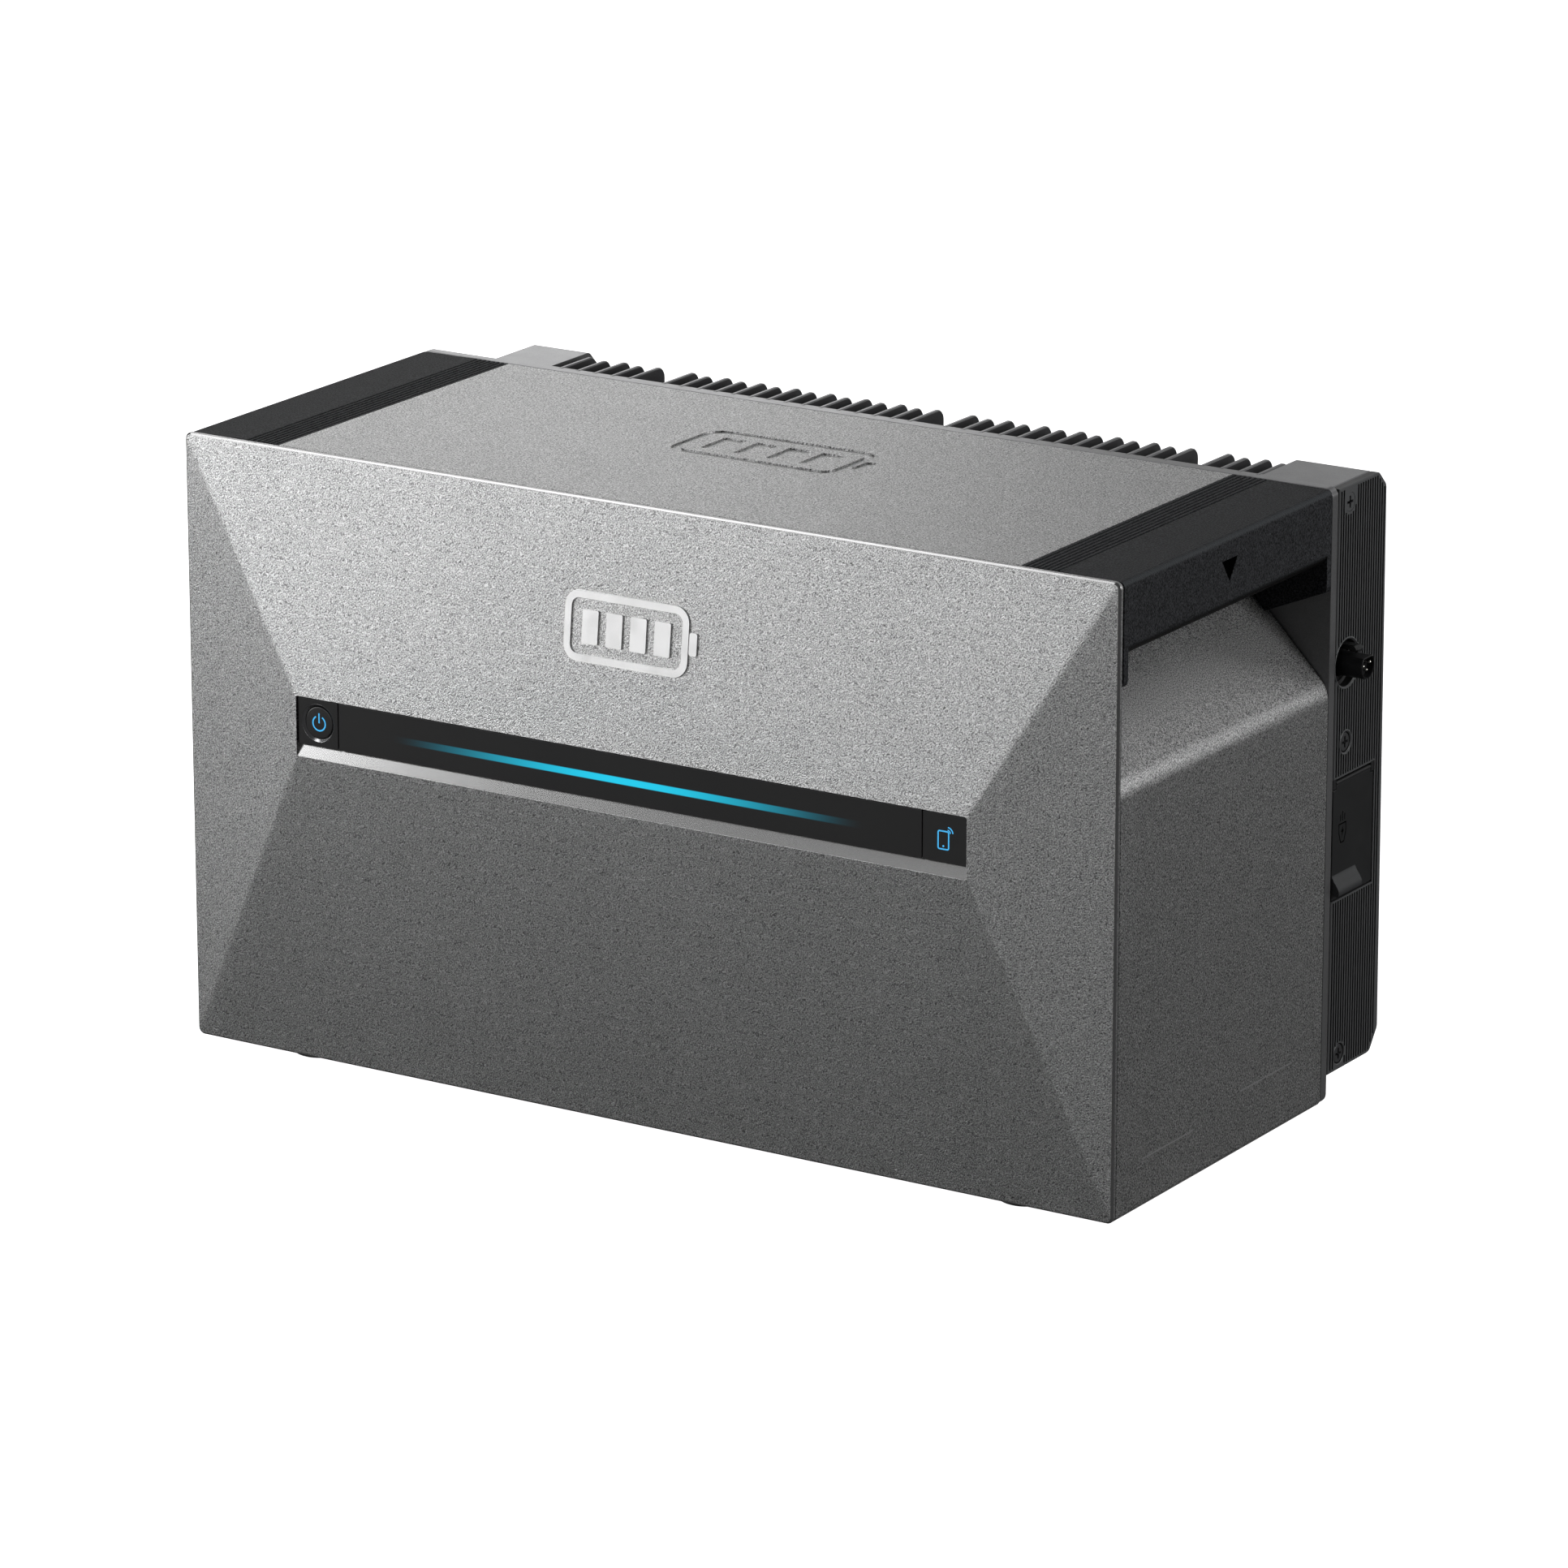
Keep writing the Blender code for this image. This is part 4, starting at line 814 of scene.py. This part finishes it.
def make_heat_sink():
    (left, right), _, _ = spans("heat_sink")
    base = piece("heat_sink_base", [eased_slab(side_corners(SINK_FRONT), left, right, COVER_EASE)], "cast_metal",
                 smooth=28)
    carve(base, [box_rings(LEFT_BLOCK_INNER, RIGHT_BLOCK_INNER, SINK_BASE, 0.240, -0.01, 0.30)], smooth=28)
    # Room in the end blocks for the screws, the outlet and the solar inputs.
    carve(base, [
        box_rings(0.196, 0.230, 0.1970, 0.2190, 0.145, 0.250),
        box_rings(0.196, 0.230, 0.1970, 0.2190, 0.026, 0.086),
        box_rings(0.203, 0.230, 0.1856, 0.2140, 0.0925, 0.1383),
        box_rings(-0.200, -0.172, 0.1853, 0.2205, 0.034, 0.162),
        box_rings(-0.200, -0.172, 0.1970, 0.2190, 0.170, 0.250),
    ], smooth=28)
    carve(base, [turned(across_x, CONNECTOR_CENTRE, [(0.203, 0.0086), (0.230, 0.0086)])], smooth=28)
    settle(base, "cast_metal", "heat_sink")
    low, high, root = SINK_BOTTOM + 0.001, SINK_TOP + 0.0002, SINK_BASE - 0.002
    fins, ribs, bosses = [], [], []
    for index in range(FIN_COUNT):
        x = FIN_FIRST_X + FIN_PITCH * index
        reach = FIN_SHORT if index % 2 else FIN_LONG
        lowered = BOSS_RECESS if index in BOSS_FINS else 0.0
        fins.append(eased_slab(upright(root, reach, low + lowered, high - lowered, FIN_CORNER),
                               x - FIN_THICKNESS / 2, x + FIN_THICKNESS / 2, 0.0005))
        if lowered:
            for foot in (SINK_BOTTOM + 0.0080, SINK_TOP - 0.0230):
                bosses.append(eased_slab(upright(root, BOSS_REACH, foot, foot + BOSS_HEIGHT, 0.001),
                                         x - BOSS_HALF_WIDTH, x + BOSS_HALF_WIDTH, 0.0006))
        elif index + 1 < FIN_COUNT and index + 1 not in BOSS_FINS:
            centre = x + FIN_PITCH / 2
            ribs.append(eased_slab(upright(root, RIB_REACH, low + RIB_RECESS, high - RIB_RECESS, 0.002),
                                   centre - 0.0007, centre + 0.0007, 0.0003))
    show("heat_sink_fins", fins, "fin_metal", "cast_metal", smooth=28)
    show("heat_sink_low_ribs", ribs, "fin_metal", "cast_metal", smooth=28)
    show("heat_sink_bosses", bosses, "cast_metal", "cast_metal", smooth=28)


def make_rear_frame():
    _, (front, back), _ = spans("rear_frame")
    corner, window = 0.0040, (0.186, 0.020, 0.250, 0.005)
    rings = eased_ends(lambda inwards, depth: rim_ring(inwards, corner - inwards, depth),
                       front, back, 0.0003, 0.0008, steps=4)
    rings += [cover_ring(*window, back), cover_ring(*window, front)]
    show("rear_band", [rings], "cast_metal", "cast_metal", "rear_frame", looped=True)


# --- side covers

def blocked_span(depth, middle_depth, middle_height, radius):
    """The heights that a round feature takes from a groove at this depth, or None."""
    aside = abs(depth - middle_depth)
    if aside >= radius:
        return None
    reach = math.sqrt(radius ** 2 - aside ** 2)
    return (middle_height - reach, middle_height + reach)


def groove_runs(depth, blocked, top):
    """The stretches of one upright groove between the margins and the features that it meets."""
    high = top - RIB_MARGIN - max(0.0, depth + RIB_MARGIN - TOP_CHAMFER)
    low = SINK_BOTTOM + RIB_MARGIN + max(0.0, depth + RIB_MARGIN - LOW_CHAMFER) * 1.6
    runs = []
    for span_low, span_high in sorted(span for span in blocked if span):
        if span_low > low:
            runs.append((low, min(span_low, high)))
        low = max(low, span_high)
    if low < high:
        runs.append((low, high))
    return [(start, end) for start, end in runs if end - start > SHORTEST_RUN]


def groove_lofts(outer_x, direction, screw_heights, features, top):
    """Upright grooves of a side cover, a little wider at the mouth than at the floor."""
    lofts = []
    floor, above = outer_x - direction * RIB_DEPTH, outer_x + direction * 0.0006
    for index in range(RIB_COUNT):
        depth = RIB_FIRST_DEPTH + RIB_PITCH * index
        blocked = [blocked_span(depth, SCREW_DEPTH, height, RIB_CLEAR_OF_SCREW) for height in screw_heights]
        if abs(depth - SCREW_DEPTH) < RIB_CLEAR_OF_SCREW:
            blocked.append((screw_heights[0], SINK_TOP))
        blocked += [feature(depth) for feature in features]
        half_floor, half_mouth = RIB_FLOOR / 2, RIB_MOUTH / 2
        section = [(floor, depth - half_floor), (outer_x, depth - half_mouth), (above, depth - half_mouth),
                   (above, depth + half_mouth), (outer_x, depth + half_mouth), (floor, depth + half_floor)]
        lofts += [prism(across_z, section, *run) for run in groove_runs(depth, blocked, top)]
    return lofts


def bored(spot, radius, inner_x, outer_x, bevel=0.0004):
    """A hole right through a side cover, with a bevelled mouth."""
    way = math.copysign(1.0, outer_x - inner_x)
    profile = [(inner_x - way * 0.002, radius), (outer_x - way * bevel, radius),
               (outer_x + way * bevel, radius + 2 * bevel)]
    return turned(across_x, spot, profile, 64)


def screw_bore(height, inner_x, outer_x):
    """A stepped hole. The top screw's hole fits closely, so that only its cross shows."""
    way = math.copysign(1.0, outer_x - inner_x)
    top = height > 0.25
    head = SCREW_HEAD_RADIUS + (0.00005 if top else GAP)
    flare = 0.0 if top else 0.0006
    profile = [(inner_x - way * 0.001, SCREW_RADIUS + GAP), (outer_x - way * 0.0026, SCREW_RADIUS + GAP),
               (outer_x - way * 0.0026, head), (outer_x - way * 0.0003, head),
               (outer_x + way * 0.0003, head + flare)]
    return turned(across_x, (SCREW_DEPTH, height), profile)


def ribbed_cover(word, inner_x, outer_x, top, features):
    """A side cover with its grooves and its screws' stepped holes."""
    _, (front, _), _ = spans(f"side_cover_{word}")
    slab = eased_slab(side_corners(front, top), min(inner_x, outer_x), max(inner_x, outer_x), COVER_EASE)
    cover = piece(f"ribbed_cover_{word}", [slab], "black_cover", smooth=28)
    heights = SCREW_HEIGHTS[word]
    carve(cover, groove_lofts(outer_x, math.copysign(1.0, outer_x - inner_x), heights, features, top))
    carve(cover, [screw_bore(height, inner_x, outer_x) for height in heights])
    return cover


def make_right_cover():
    cover = ribbed_cover("right", RIGHT_COVER_X, RIGHT_FACE_X, SINK_TOP, (
        lambda depth: blocked_span(depth, *CONNECTOR_CENTRE, CONNECTOR_HOLE + 0.0010),
        lambda depth: (FLAP_POCKET[2] - 0.0008, FLAP_POCKET[3] + 0.0008) if depth < 0.2185 else None,
    ))
    carve(cover, [bored(CONNECTOR_CENTRE, CONNECTOR_HOLE, RIGHT_COVER_X, RIGHT_FACE_X)])
    # The flap's pocket leaves a lug at each upper corner, which is then lowered and capped.
    pocket_floor, lug_floor, clear, slack = 0.2274, 0.2297, 0.2350, 0.0001
    (front, back, low, high), (first, second) = FLAP_POCKET, LUG_DEPTHS
    pocket = [(front, low), (back, low), (back, LUG_LOW), (second[0], LUG_LOW), (second[0], high),
              (first[1], high), (first[1], LUG_LOW), (front, LUG_LOW)]
    carve(cover, [prism(across_x, pocket, pocket_floor, clear)])
    corners = ((front, first[1]), (second[0], back))
    carve(cover, [box_rings(lug_floor, clear, start - 2 * slack, end + 2 * slack, LUG_LOW - 2 * slack,
                            high + 2 * slack) for start, end in corners])
    carve(cover, [box_rings(0.2200, clear, 0.1876, 0.2116, 0.0945, 0.1363)], smooth=28)
    settle(cover, "black_cover", "side_cover_right")
    caps = [box_rings(lug_floor - 0.0002, lug_floor + 0.00015, start + slack, end - slack, LUG_LOW, high + slack)
            for start, end in corners]
    show("flap_lug_caps", caps, "flap_black", "black_cover")
    # A raised rim round the connector's hole and round the middle screw.
    section = ((-0.0006, 0.0004), (0.0001, 0.00035), (0.0002, 0.0002), (0.0002, -0.0001), (0.0001, -0.00025),
               (-0.0006, -0.0003))
    rims = [turned(across_x, spot, [(RIGHT_FACE_X + along, radius + out) for along, out in section], 72)
            for spot, radius in ((CONNECTOR_CENTRE, CONNECTOR_HOLE + 0.0006),
                                 ((SCREW_DEPTH, SCREW_HEIGHTS["right"][1]), 0.0051))]
    show("ribbed_cover_rims", rims, "black_cover", "black_cover", looped=True, smooth=50)


def make_left_cover():
    inner_x, blocked = LEFT_COVER_X + COVER_THICKNESS, (SOLAR_HEIGHTS[0] - 0.012, SOLAR_HEIGHTS[-1] + 0.012)
    cover = ribbed_cover("left", inner_x, LEFT_COVER_X, SINK_TOP - 0.0030, (lambda depth: blocked,))
    carve(cover, [bored((depth, height), SOLAR_HOLE, inner_x, LEFT_COVER_X, 0.0002)
                  for height in SOLAR_HEIGHTS for depth in SOLAR_DEPTHS], smooth=28)
    settle(cover, "black_cover", "side_cover_left")


def cross_outline(height, reach, half):
    points = [(reach, -half), (reach, half), (half, half), (half, reach), (-half, reach), (-half, half),
              (-reach, half), (-reach, -half), (-half, -half), (-half, -reach), (half, -reach), (half, -half)]
    return [(SCREW_DEPTH + u, height + v) for u, v in points]


def make_cover_screws():
    for word, outer_x, way in (("right", RIGHT_FACE_X, 1), ("left", LEFT_COVER_X, -1)):
        for number, height in enumerate(SCREW_HEIGHTS[word], 1):
            top = number == 1
            edge = 0.0001 if top else 0.0005
            profile = [(-0.0150, SCREW_RADIUS), (-0.0022, SCREW_RADIUS), (-0.00219, SCREW_HEAD_RADIUS),
                       (-0.0003 - edge, SCREW_HEAD_RADIUS), (-0.0003 - edge / 2, SCREW_HEAD_RADIUS - edge / 4),
                       (-0.0001 if top else -0.0003, SCREW_HEAD_RADIUS - edge)]
            rings = turned(across_x, (SCREW_DEPTH, height),
                           [(outer_x + way * along, radius) for along, radius in profile])
            # The top screw takes the cover's finish, whose painted shade blackens its cross below the face.
            screw = piece(f"{word}_screw_{number}", [rings], "black_cover" if top else "black_screw", smooth=35)
            foot = across_x(cross_outline(height, 0.0019, 0.00035), outer_x - way * 0.0021)
            mouth = across_x(cross_outline(height, 0.0028, 0.00065), outer_x + way * 0.0002)
            carve(screw, [[foot, mouth]], smooth=35)
            settle(screw, "black_screw", f"cover_screw_{word}_{number}")
            # Painted shade: a near-black plate in the bottom of each cross recess.
            floor = [across_x(cross_outline(height, 0.0019, 0.00030), outer_x - way * 0.0021),
                     across_x(cross_outline(height, 0.0020, 0.00035), outer_x - way * 0.0017)]
            show(f"{word}_screw_{number}_recess", [floor], "ink_black", "black_screw")


# --- grid connector, outlet and flap

def plug_rings(profile, flat):
    """A round plug with a flat on top, which keeps it from being turned over."""
    depth, height = CONNECTOR_CENTRE
    return [across_x([(depth + u, height + min(v, radius * flat)) for u, v in circle(0, 0, radius, 72)], along)
            for along, radius in profile]


def make_grid_connector():
    face = spans("grid_connector")[0][1]
    depth, height = CONNECTOR_CENTRE
    collar = [(0.2045, 0.0078), (0.2047, 0.0080), (0.2218, 0.0080), (0.2224, 0.0076), (0.2225, 0.0066),
              (0.2205, 0.0064)]
    show("grid_connector_collar", [plug_rings(collar, 0.86)], "outlet_black", "black_cover", "grid_connector",
         smooth=35)
    profile = [(0.2200, 0.0062), (0.2268, 0.0062), (0.2278, 0.0056), (face - 0.0010, 0.0057),
               (face - 0.0002, 0.0056), (face, 0.0054), (face, 0.0051), (face - 0.0003, 0.0049),
               (face - 0.0030, 0.0048)]
    plug = piece("grid_connector_plug", [plug_rings(profile, 0.72)], "outlet_black", smooth=35)
    spots = [(depth + aside, height + up) for aside, up in ((0.0028, 0.0012), (-0.0028, 0.0004), (0.0, -0.0016))]
    hole = [(face - 0.0080, 0.0010), (face, 0.0010)]
    carve(plug, [turned(across_x, spot, hole, 24) for spot in spots], smooth=35)
    settle(plug, "black_cover")
    tip = [(face - 0.0076, 0.0007), (face - 0.0012, 0.0007), (face - 0.0007, 0.0006), (face - 0.0004, 0.0003),
           (face - 0.0003, 0.0001)]
    for number, spot in enumerate(spots, 1):
        pin = piece(f"grid_connector_pin_{number}", [turned(across_x, spot, tip, 20)], "pin_metal", smooth=60)
        settle(pin, "steel", f"grid_pin_{number}")
    # Painted shade: a near-black rubber ring behind the connector's hole, where the hole's inside would show lit
    # metal.
    back, front = RIGHT_COVER_X - 0.0004, RIGHT_COVER_X + 0.0001
    seal = turned(across_x, CONNECTOR_CENTRE,
                  [(back, 0.0104), (front, 0.0104), (front, 0.0084), (back, 0.0084)], 64)
    show("grid_connector_shade_ring", [seal], "rubber_black", "black_cover", looped=True)
    # Two guides beside the plug, on which the latch rides.
    low = height + 0.0030
    guides = [soft_block(across_x, rectangle(depth + aside - 0.0006, depth + aside + 0.0006, low, low + 0.0034,
                                             0.0003), 0.2190, 0.2262, 0.0002) for aside in (-0.0046, 0.0046)]
    show("grid_connector_guides", guides, "outlet_black", "black_cover")


def make_latch():
    depth, low = CONNECTOR_CENTRE[0], CONNECTOR_CENTRE[1] + 0.0064
    arm = rounded([(0.2256, low, 0.0002), (0.2342, low, 0.0002), (0.2350, low - 0.0008, 0.0001),
                   (0.2358, low - 0.0008, 0.0002), (0.2362, low + 0.0006, 0.0003),
                   (0.2345, low + 0.0022, 0.0004), (0.2262, low + 0.0022, 0.0003),
                   (0.2256, low + 0.0015, 0.0002)], 3)
    head = rounded([(0.2326, low + 0.0004, 0.0002), (0.2352, low - 0.0002, 0.0003),
                    (0.2361, low + 0.0005, 0.0003), (0.2348, low + 0.0021, 0.0004),
                    (0.2326, low + 0.0017, 0.0002)], 3)
    lofts = [[[place(x, depth + aside, height) for x, height in outline] for aside in (-half_width, half_width)]
             for outline, half_width in ((arm, 0.0021), (head, 0.0031))]
    show("connector_latch_arm", lofts, "flap_black", "black_cover", "grid_connector_latch", smooth=35,
         body="connector_latch")


def make_outlet():
    _, (front, back), (low, high) = spans("ac_outlet")
    block = soft_block(across_x, rectangle(front, back, low, high, 0.002), 0.2040, 0.2252, 0.0004)
    show("outlet_body", [block], "outlet_black", "outlet_black", "ac_outlet", smooth=35)
    outline = rectangle(front + 0.0019, back - 0.0023, low + 0.0020, high - 0.0020, 0.002)
    block = soft_block(across_x, outline, 0.2240, 0.2274, 0.0004)
    face = piece("outlet_face", [block], "outlet_black", smooth=35)
    centre = (front + back) / 2 - 0.0002
    slots = [box_rings(0.2250, 0.2290, centre + aside - 0.0010, centre + aside + 0.0010, 0.1120, 0.1190)
             for aside in (-0.0065, 0.0065)]
    slots.append(turned(across_x, (centre, 0.1050), [(0.2250, 0.0018), (0.2290, 0.0018)], 32))
    carve(face, slots, smooth=35)
    settle(face, "outlet_black")


def make_flap():
    back, face = 0.2283, 0.2298
    neck, shoulder = FLAP_HINGE[1] - 0.0006, LUG_LOW - 0.0005
    body = [(0.1821, FLAP_LOW, 0.0005), (0.2174, FLAP_LOW, 0.0015), (0.2174, shoulder, 0.0003),
            (0.2148, shoulder, 0.0002), (0.2148, neck, 0.0002), (0.1848, neck, 0.0002),
            (0.1848, shoulder, 0.0002), (0.1821, shoulder, 0.0003)]
    flap = piece("flap_panel", [[*prism(across_x, rounded(body), back, face - 0.0002),
                                 across_x(rounded(inset(body, 0.0002)), face)]], "flap_black", smooth=28)
    # A plug pictogram: grooves in the panel, with near-black plates at their floors.
    cut, centre, line = (on_side(face + 0.0004), on_side(face - 0.0004)), (0.1908, 0.1185), 0.0006
    shell = shifted(((-0.0030, 0.0030), (0.0030, 0.0030), (0.0030, -0.0008), (0.0014, -0.0052),
                     (-0.0014, -0.0052), (-0.0030, -0.0008)), *centre)
    prongs = [stroke_loft(shifted(((aside, 0.0042), (aside, tip)), *centre), line, *cut)
              for aside, tip in ((-0.0018, 0.0072), (0.0, 0.0084), (0.0018, 0.0072))]
    bolt = shifted(((0.0006, 0.0020), (-0.0012, -0.0008), (-0.0002, -0.0008), (-0.0006, -0.0032),
                    (0.0013, 0.0002), (0.0003, 0.0002)), *centre)
    carve(flap, [stroke_loft(shell, line, *cut, True)], looped=True, smooth=28)
    carve(flap, prongs + [plate_loft(bolt, *cut)], smooth=28)
    settle(flap, "black_cover", "ac_flap", body="ac_flap")
    knuckle = turned(across_y, FLAP_HINGE, [(0.1848, 0.0011), (0.2148, 0.0011)], 32)
    show("flap_knuckle_round", [knuckle], "flap_black", "black_cover", body="ac_flap")
    floor_faces = on_side(face - 0.00038), on_side(face - 0.0006)
    under_shell = shifted(((-0.0034, 0.0034), (0.0034, 0.0034), (0.0034, -0.0010), (0.0016, -0.0056),
                           (-0.0016, -0.0056), (-0.0034, -0.0010)), *centre)
    under_prongs = rounded(around(centre[0], centre[1] + 0.0063, 0.0023, 0.0023))
    floor_plates = [plate_loft(outline, *floor_faces) for outline in (under_shell, under_prongs)]
    show("flap_icon_floor", floor_plates, "ink_black", "black_cover", body="ac_flap")
    # The pull: it swells out of the panel and ends in a rounded edge that a fingertip can get behind.
    swell = []
    for step in range(15):
        part = step / 14
        rise = 0.5 - 0.5 * math.cos(math.pi * part)
        swell.append(Vector((face - 0.0001 + 0.0036 * rise, FLAP_LOW + 0.0118 - 0.0080 * part)))
    nose = arc_points((face + 0.0023, FLAP_LOW + 0.0034), 0.0012, 10, -90, 8)
    hollow = [Vector((face + 0.0010, FLAP_LOW + 0.0026)), Vector((face - 0.0002, FLAP_LOW + 0.0040))]
    outline = (swell + nose + hollow)[::-1]
    pull = [[place(x, depth, height) for x, height in outline] for depth in (0.1823, 0.2029)]
    show("flap_pull", [pull], "pull_black", "black_cover", smooth=40, body="ac_flap")
    pin = turned(across_y, FLAP_HINGE,
                 [(0.1826, 0.0005), (0.1828, 0.0007), (0.2168, 0.0007), (0.2170, 0.0005)], 24)
    show("flap_hinge_pin", [pin], "steel", "steel", "ac_flap_pin")


# --- solar inputs and feet

def fluted(spot, radius, along, flutes=12, depth=0.0004, sides=96):
    """A ring of a round nut with shallow grip flutes."""
    ring = []
    for index in range(sides):
        angle = 2 * math.pi * index / sides
        reach = radius - depth * max(0.0, math.cos(flutes * angle)) ** 3
        ring.append(place(along, spot[0] + reach * math.cos(angle), spot[1] + reach * math.sin(angle)))
    return ring


def make_solar_inputs():
    front = LEFT_COVER_X - 0.0003
    nut_profile = [(-0.2030, 0.0083), (-0.2033, 0.0086), (-0.2116, 0.0086), (-0.2120, 0.0083)]
    barrel_profile = [(-0.1900, 0.0060), (-0.2100, 0.0060), (-0.2118, 0.0078), (-0.2200, 0.00775),
                      (-0.2202, 0.0071), (-0.2212, 0.0071), (-0.2214, 0.00765), (-0.2385, 0.0074),
                      (-0.2396, 0.0070), (-0.2400, 0.0064), (-0.2400, 0.0054), (-0.2396, 0.0051),
                      (-0.2300, 0.0050)]
    seal_profile = [(-0.2127, 0.0077), (-0.2130, 0.00815), (-0.2140, 0.00815), (-0.2143, 0.0077)]
    tip_profile = [(-0.2295, 0.0019), (-0.2370, 0.0019), (-0.2378, 0.0012)]
    for number, height in enumerate(SOLAR_HEIGHTS, 1):
        plate = soft_block(across_x, rectangle(0.1846, 0.2219, height - 0.0100, height + 0.0100, 0.003),
                           front, front - 0.0022, 0.0005)
        show(f"solar_plate_{number}", [plate], "black_handle", "black_handle", f"pv_input_{number}", smooth=35)
        for word, depth, ring_finish in zip(("plus", "minus"), SOLAR_DEPTHS, ("plus_red", "rubber_black")):
            spot = (depth, height)
            nut = [fluted(spot, radius, along) for along, radius in nut_profile]
            barrel = turned(across_x, spot, barrel_profile)
            show(f"solar_{word}_barrel_{number}", [nut, barrel], "black_handle", "black_handle", smooth=35)
            seal = turned(across_x, spot, seal_profile)
            show(f"solar_{word}_ring_{number}", [seal], ring_finish, "rubber_black", smooth=60)
            tip = turned(across_x, spot, tip_profile, 24)
            show(f"solar_{word}_contact_{number}", [tip], "pin_metal", "steel", smooth=60)


def make_feet():
    for word, x, depth in (("front_left", -0.178, 0.019), ("front_right", 0.178, 0.019),
                           ("rear_left", -0.178, 0.158), ("rear_right", 0.178, 0.158)):
        name = f"foot_{word}"
        low = spans(name)[2][0]
        profile = [(low + 0.0006, 0.0050), (low + 0.0006, 0.0060), (low, 0.0066), (low, 0.0104),
                   (low + 0.0004, 0.0113), (low + 0.0012, 0.0119), (low + 0.0022, 0.0120), (-0.0012, 0.0120),
                   (-0.0006, 0.0117), (-GAP, 0.0110), (-GAP + 0.00001, 0.0030), (WALL - 0.0005, 0.0030)]
        show(f"{name}_pad", [turned(across_z, (x, depth), profile, 64)], "rubber_black", "rubber_black", name,
             smooth=40)


def dress_frame_nodes():
    """Every CAD node takes the finish of its slot, also where a piece stands for it."""
    for part in frame["record"]["subparts"]:
        paint(frame["nodes"][part["node"]].data, MATERIALS[part["material_slot"]])


# --- studio

def look_along(made, direction):
    made.rotation_mode = "QUATERNION"
    made.rotation_quaternion = direction.to_track_quat("-Z", "Y")


def make_floor():
    mesh = bpy.data.meshes.new("floor")
    reach = 7.0
    mesh.from_pydata([(-reach, -reach, 0), (reach, -reach, 0), (reach, reach, 0), (-reach, reach, 0)], [],
                     [(0, 1, 2, 3)])
    floor = add_object("floor", mesh)
    made, tree, shader = new_material("pale_floor")
    connect(tree, shader, {"Base Color": (0.80, 0.80, 0.80, 1.0), "Roughness": 0.9, "Specular IOR Level": 0.0,
                           "Emission Color": (1.0, 1.0, 1.0, 1.0), "Emission Strength": 1.0})
    mesh.materials.append(made)
    floor.visible_glossy = False
    floor.visible_diffuse = False


def make_world():
    """White to the camera, and a dim even fill to everything else."""
    world = bpy.data.worlds.new("studio")
    bpy.context.scene.world = world
    world.use_nodes = True
    tree = world.node_tree
    tree.nodes.clear()
    path = node(tree, "ShaderNodeLightPath")
    dim, white = [node(tree, "ShaderNodeBackground", {"Color": (1.0, 1.0, 1.0, 1.0), "Strength": strength})
                  for strength in (0.060, 1.0)]
    mix = node(tree, "ShaderNodeMixShader", {0: path.outputs["Is Camera Ray"], 1: dim.outputs[0],
                                             2: white.outputs[0]})
    node(tree, "ShaderNodeOutputWorld", {"Surface": mix.outputs[0]})


def make_lights():
    """Soft boxes, each with its place, the height on the middle axis that it faces, its size and its power."""
    for name, spot, height, size, power in (
            ("key_left", (-1.72, -1.33, 0.70), 0.45, (0.8, 1.5), 25.5),
            ("key_low", (-1.72, -1.33, 0.10), 0.15, (0.8, 0.6), 0.5),
            ("front_left", (-0.75, -2.05, 0.50), 0.35, (0.8, 1.2), 3.9),
            ("front_middle", (0.0, -2.20, 0.60), 0.35, (0.8, 1.2), 5.5),
            ("rear_left", (-1.35, 1.55, 0.95), 0.35, (1.0, 0.9), 4.7),
            ("rear_middle", (-0.5, 2.20, 0.95), 0.35, (1.0, 0.9), 1.85),
            ("rear_high", (0.75, 2.00, 1.40), 0.2, (0.9, 0.9), 1.7),
            ("rear_right", (1.30, 1.90, 0.55), 0.4, (1.0, 1.0), 0.9),
            ("side_right", (2.20, 0.50, 0.90), 0.2, (1.0, 1.0), 28.0),
            ("side_high", (1.60, 0.90, 1.70), 0.2, (0.9, 0.9), 1.1),
            ("rear_low", (0.0, 2.40, 0.25), 0.15, (1.8, 0.4), 5.0),
            ("rim_top", (-1.15, -0.65, 1.95), 0.2, (0.7, 0.7), 5.0)):
        light = bpy.data.lights.new(name, "AREA")
        light.shape = "RECTANGLE"
        light.size, light.size_y = size
        light.energy = power
        made = add_object(name, light)
        made.location = spot
        look_along(made, Vector((0.0, 0.0, height)) - made.location)


def make_camera():
    data = bpy.data.cameras.new("camera")
    data.lens = 180.8
    data.sensor_width = 36.0
    data.shift_y = 0.0013
    data.clip_end = 60.0
    camera = add_object("camera", data)
    camera.location = (1.7281, -2.7228, 1.0940)
    look_along(camera, Vector((-0.51237, 0.80922, -0.28747)))
    bpy.context.scene.camera = camera


def main():
    bpy.context.scene.view_settings.view_transform = "Standard"
    dress_frame_nodes()
    make_camera()
    for make in (make_front_cover, make_front_marks, make_strip, make_power_button, make_pairing_key, make_domes,
                 make_housing, make_handles, make_side_print, make_heat_sink, make_right_cover, make_left_cover,
                 make_cover_screws, make_grid_connector, make_latch, make_outlet, make_flap, make_solar_inputs,
                 make_feet, make_rear_frame, make_floor, make_world, make_lights):
        make()


main()
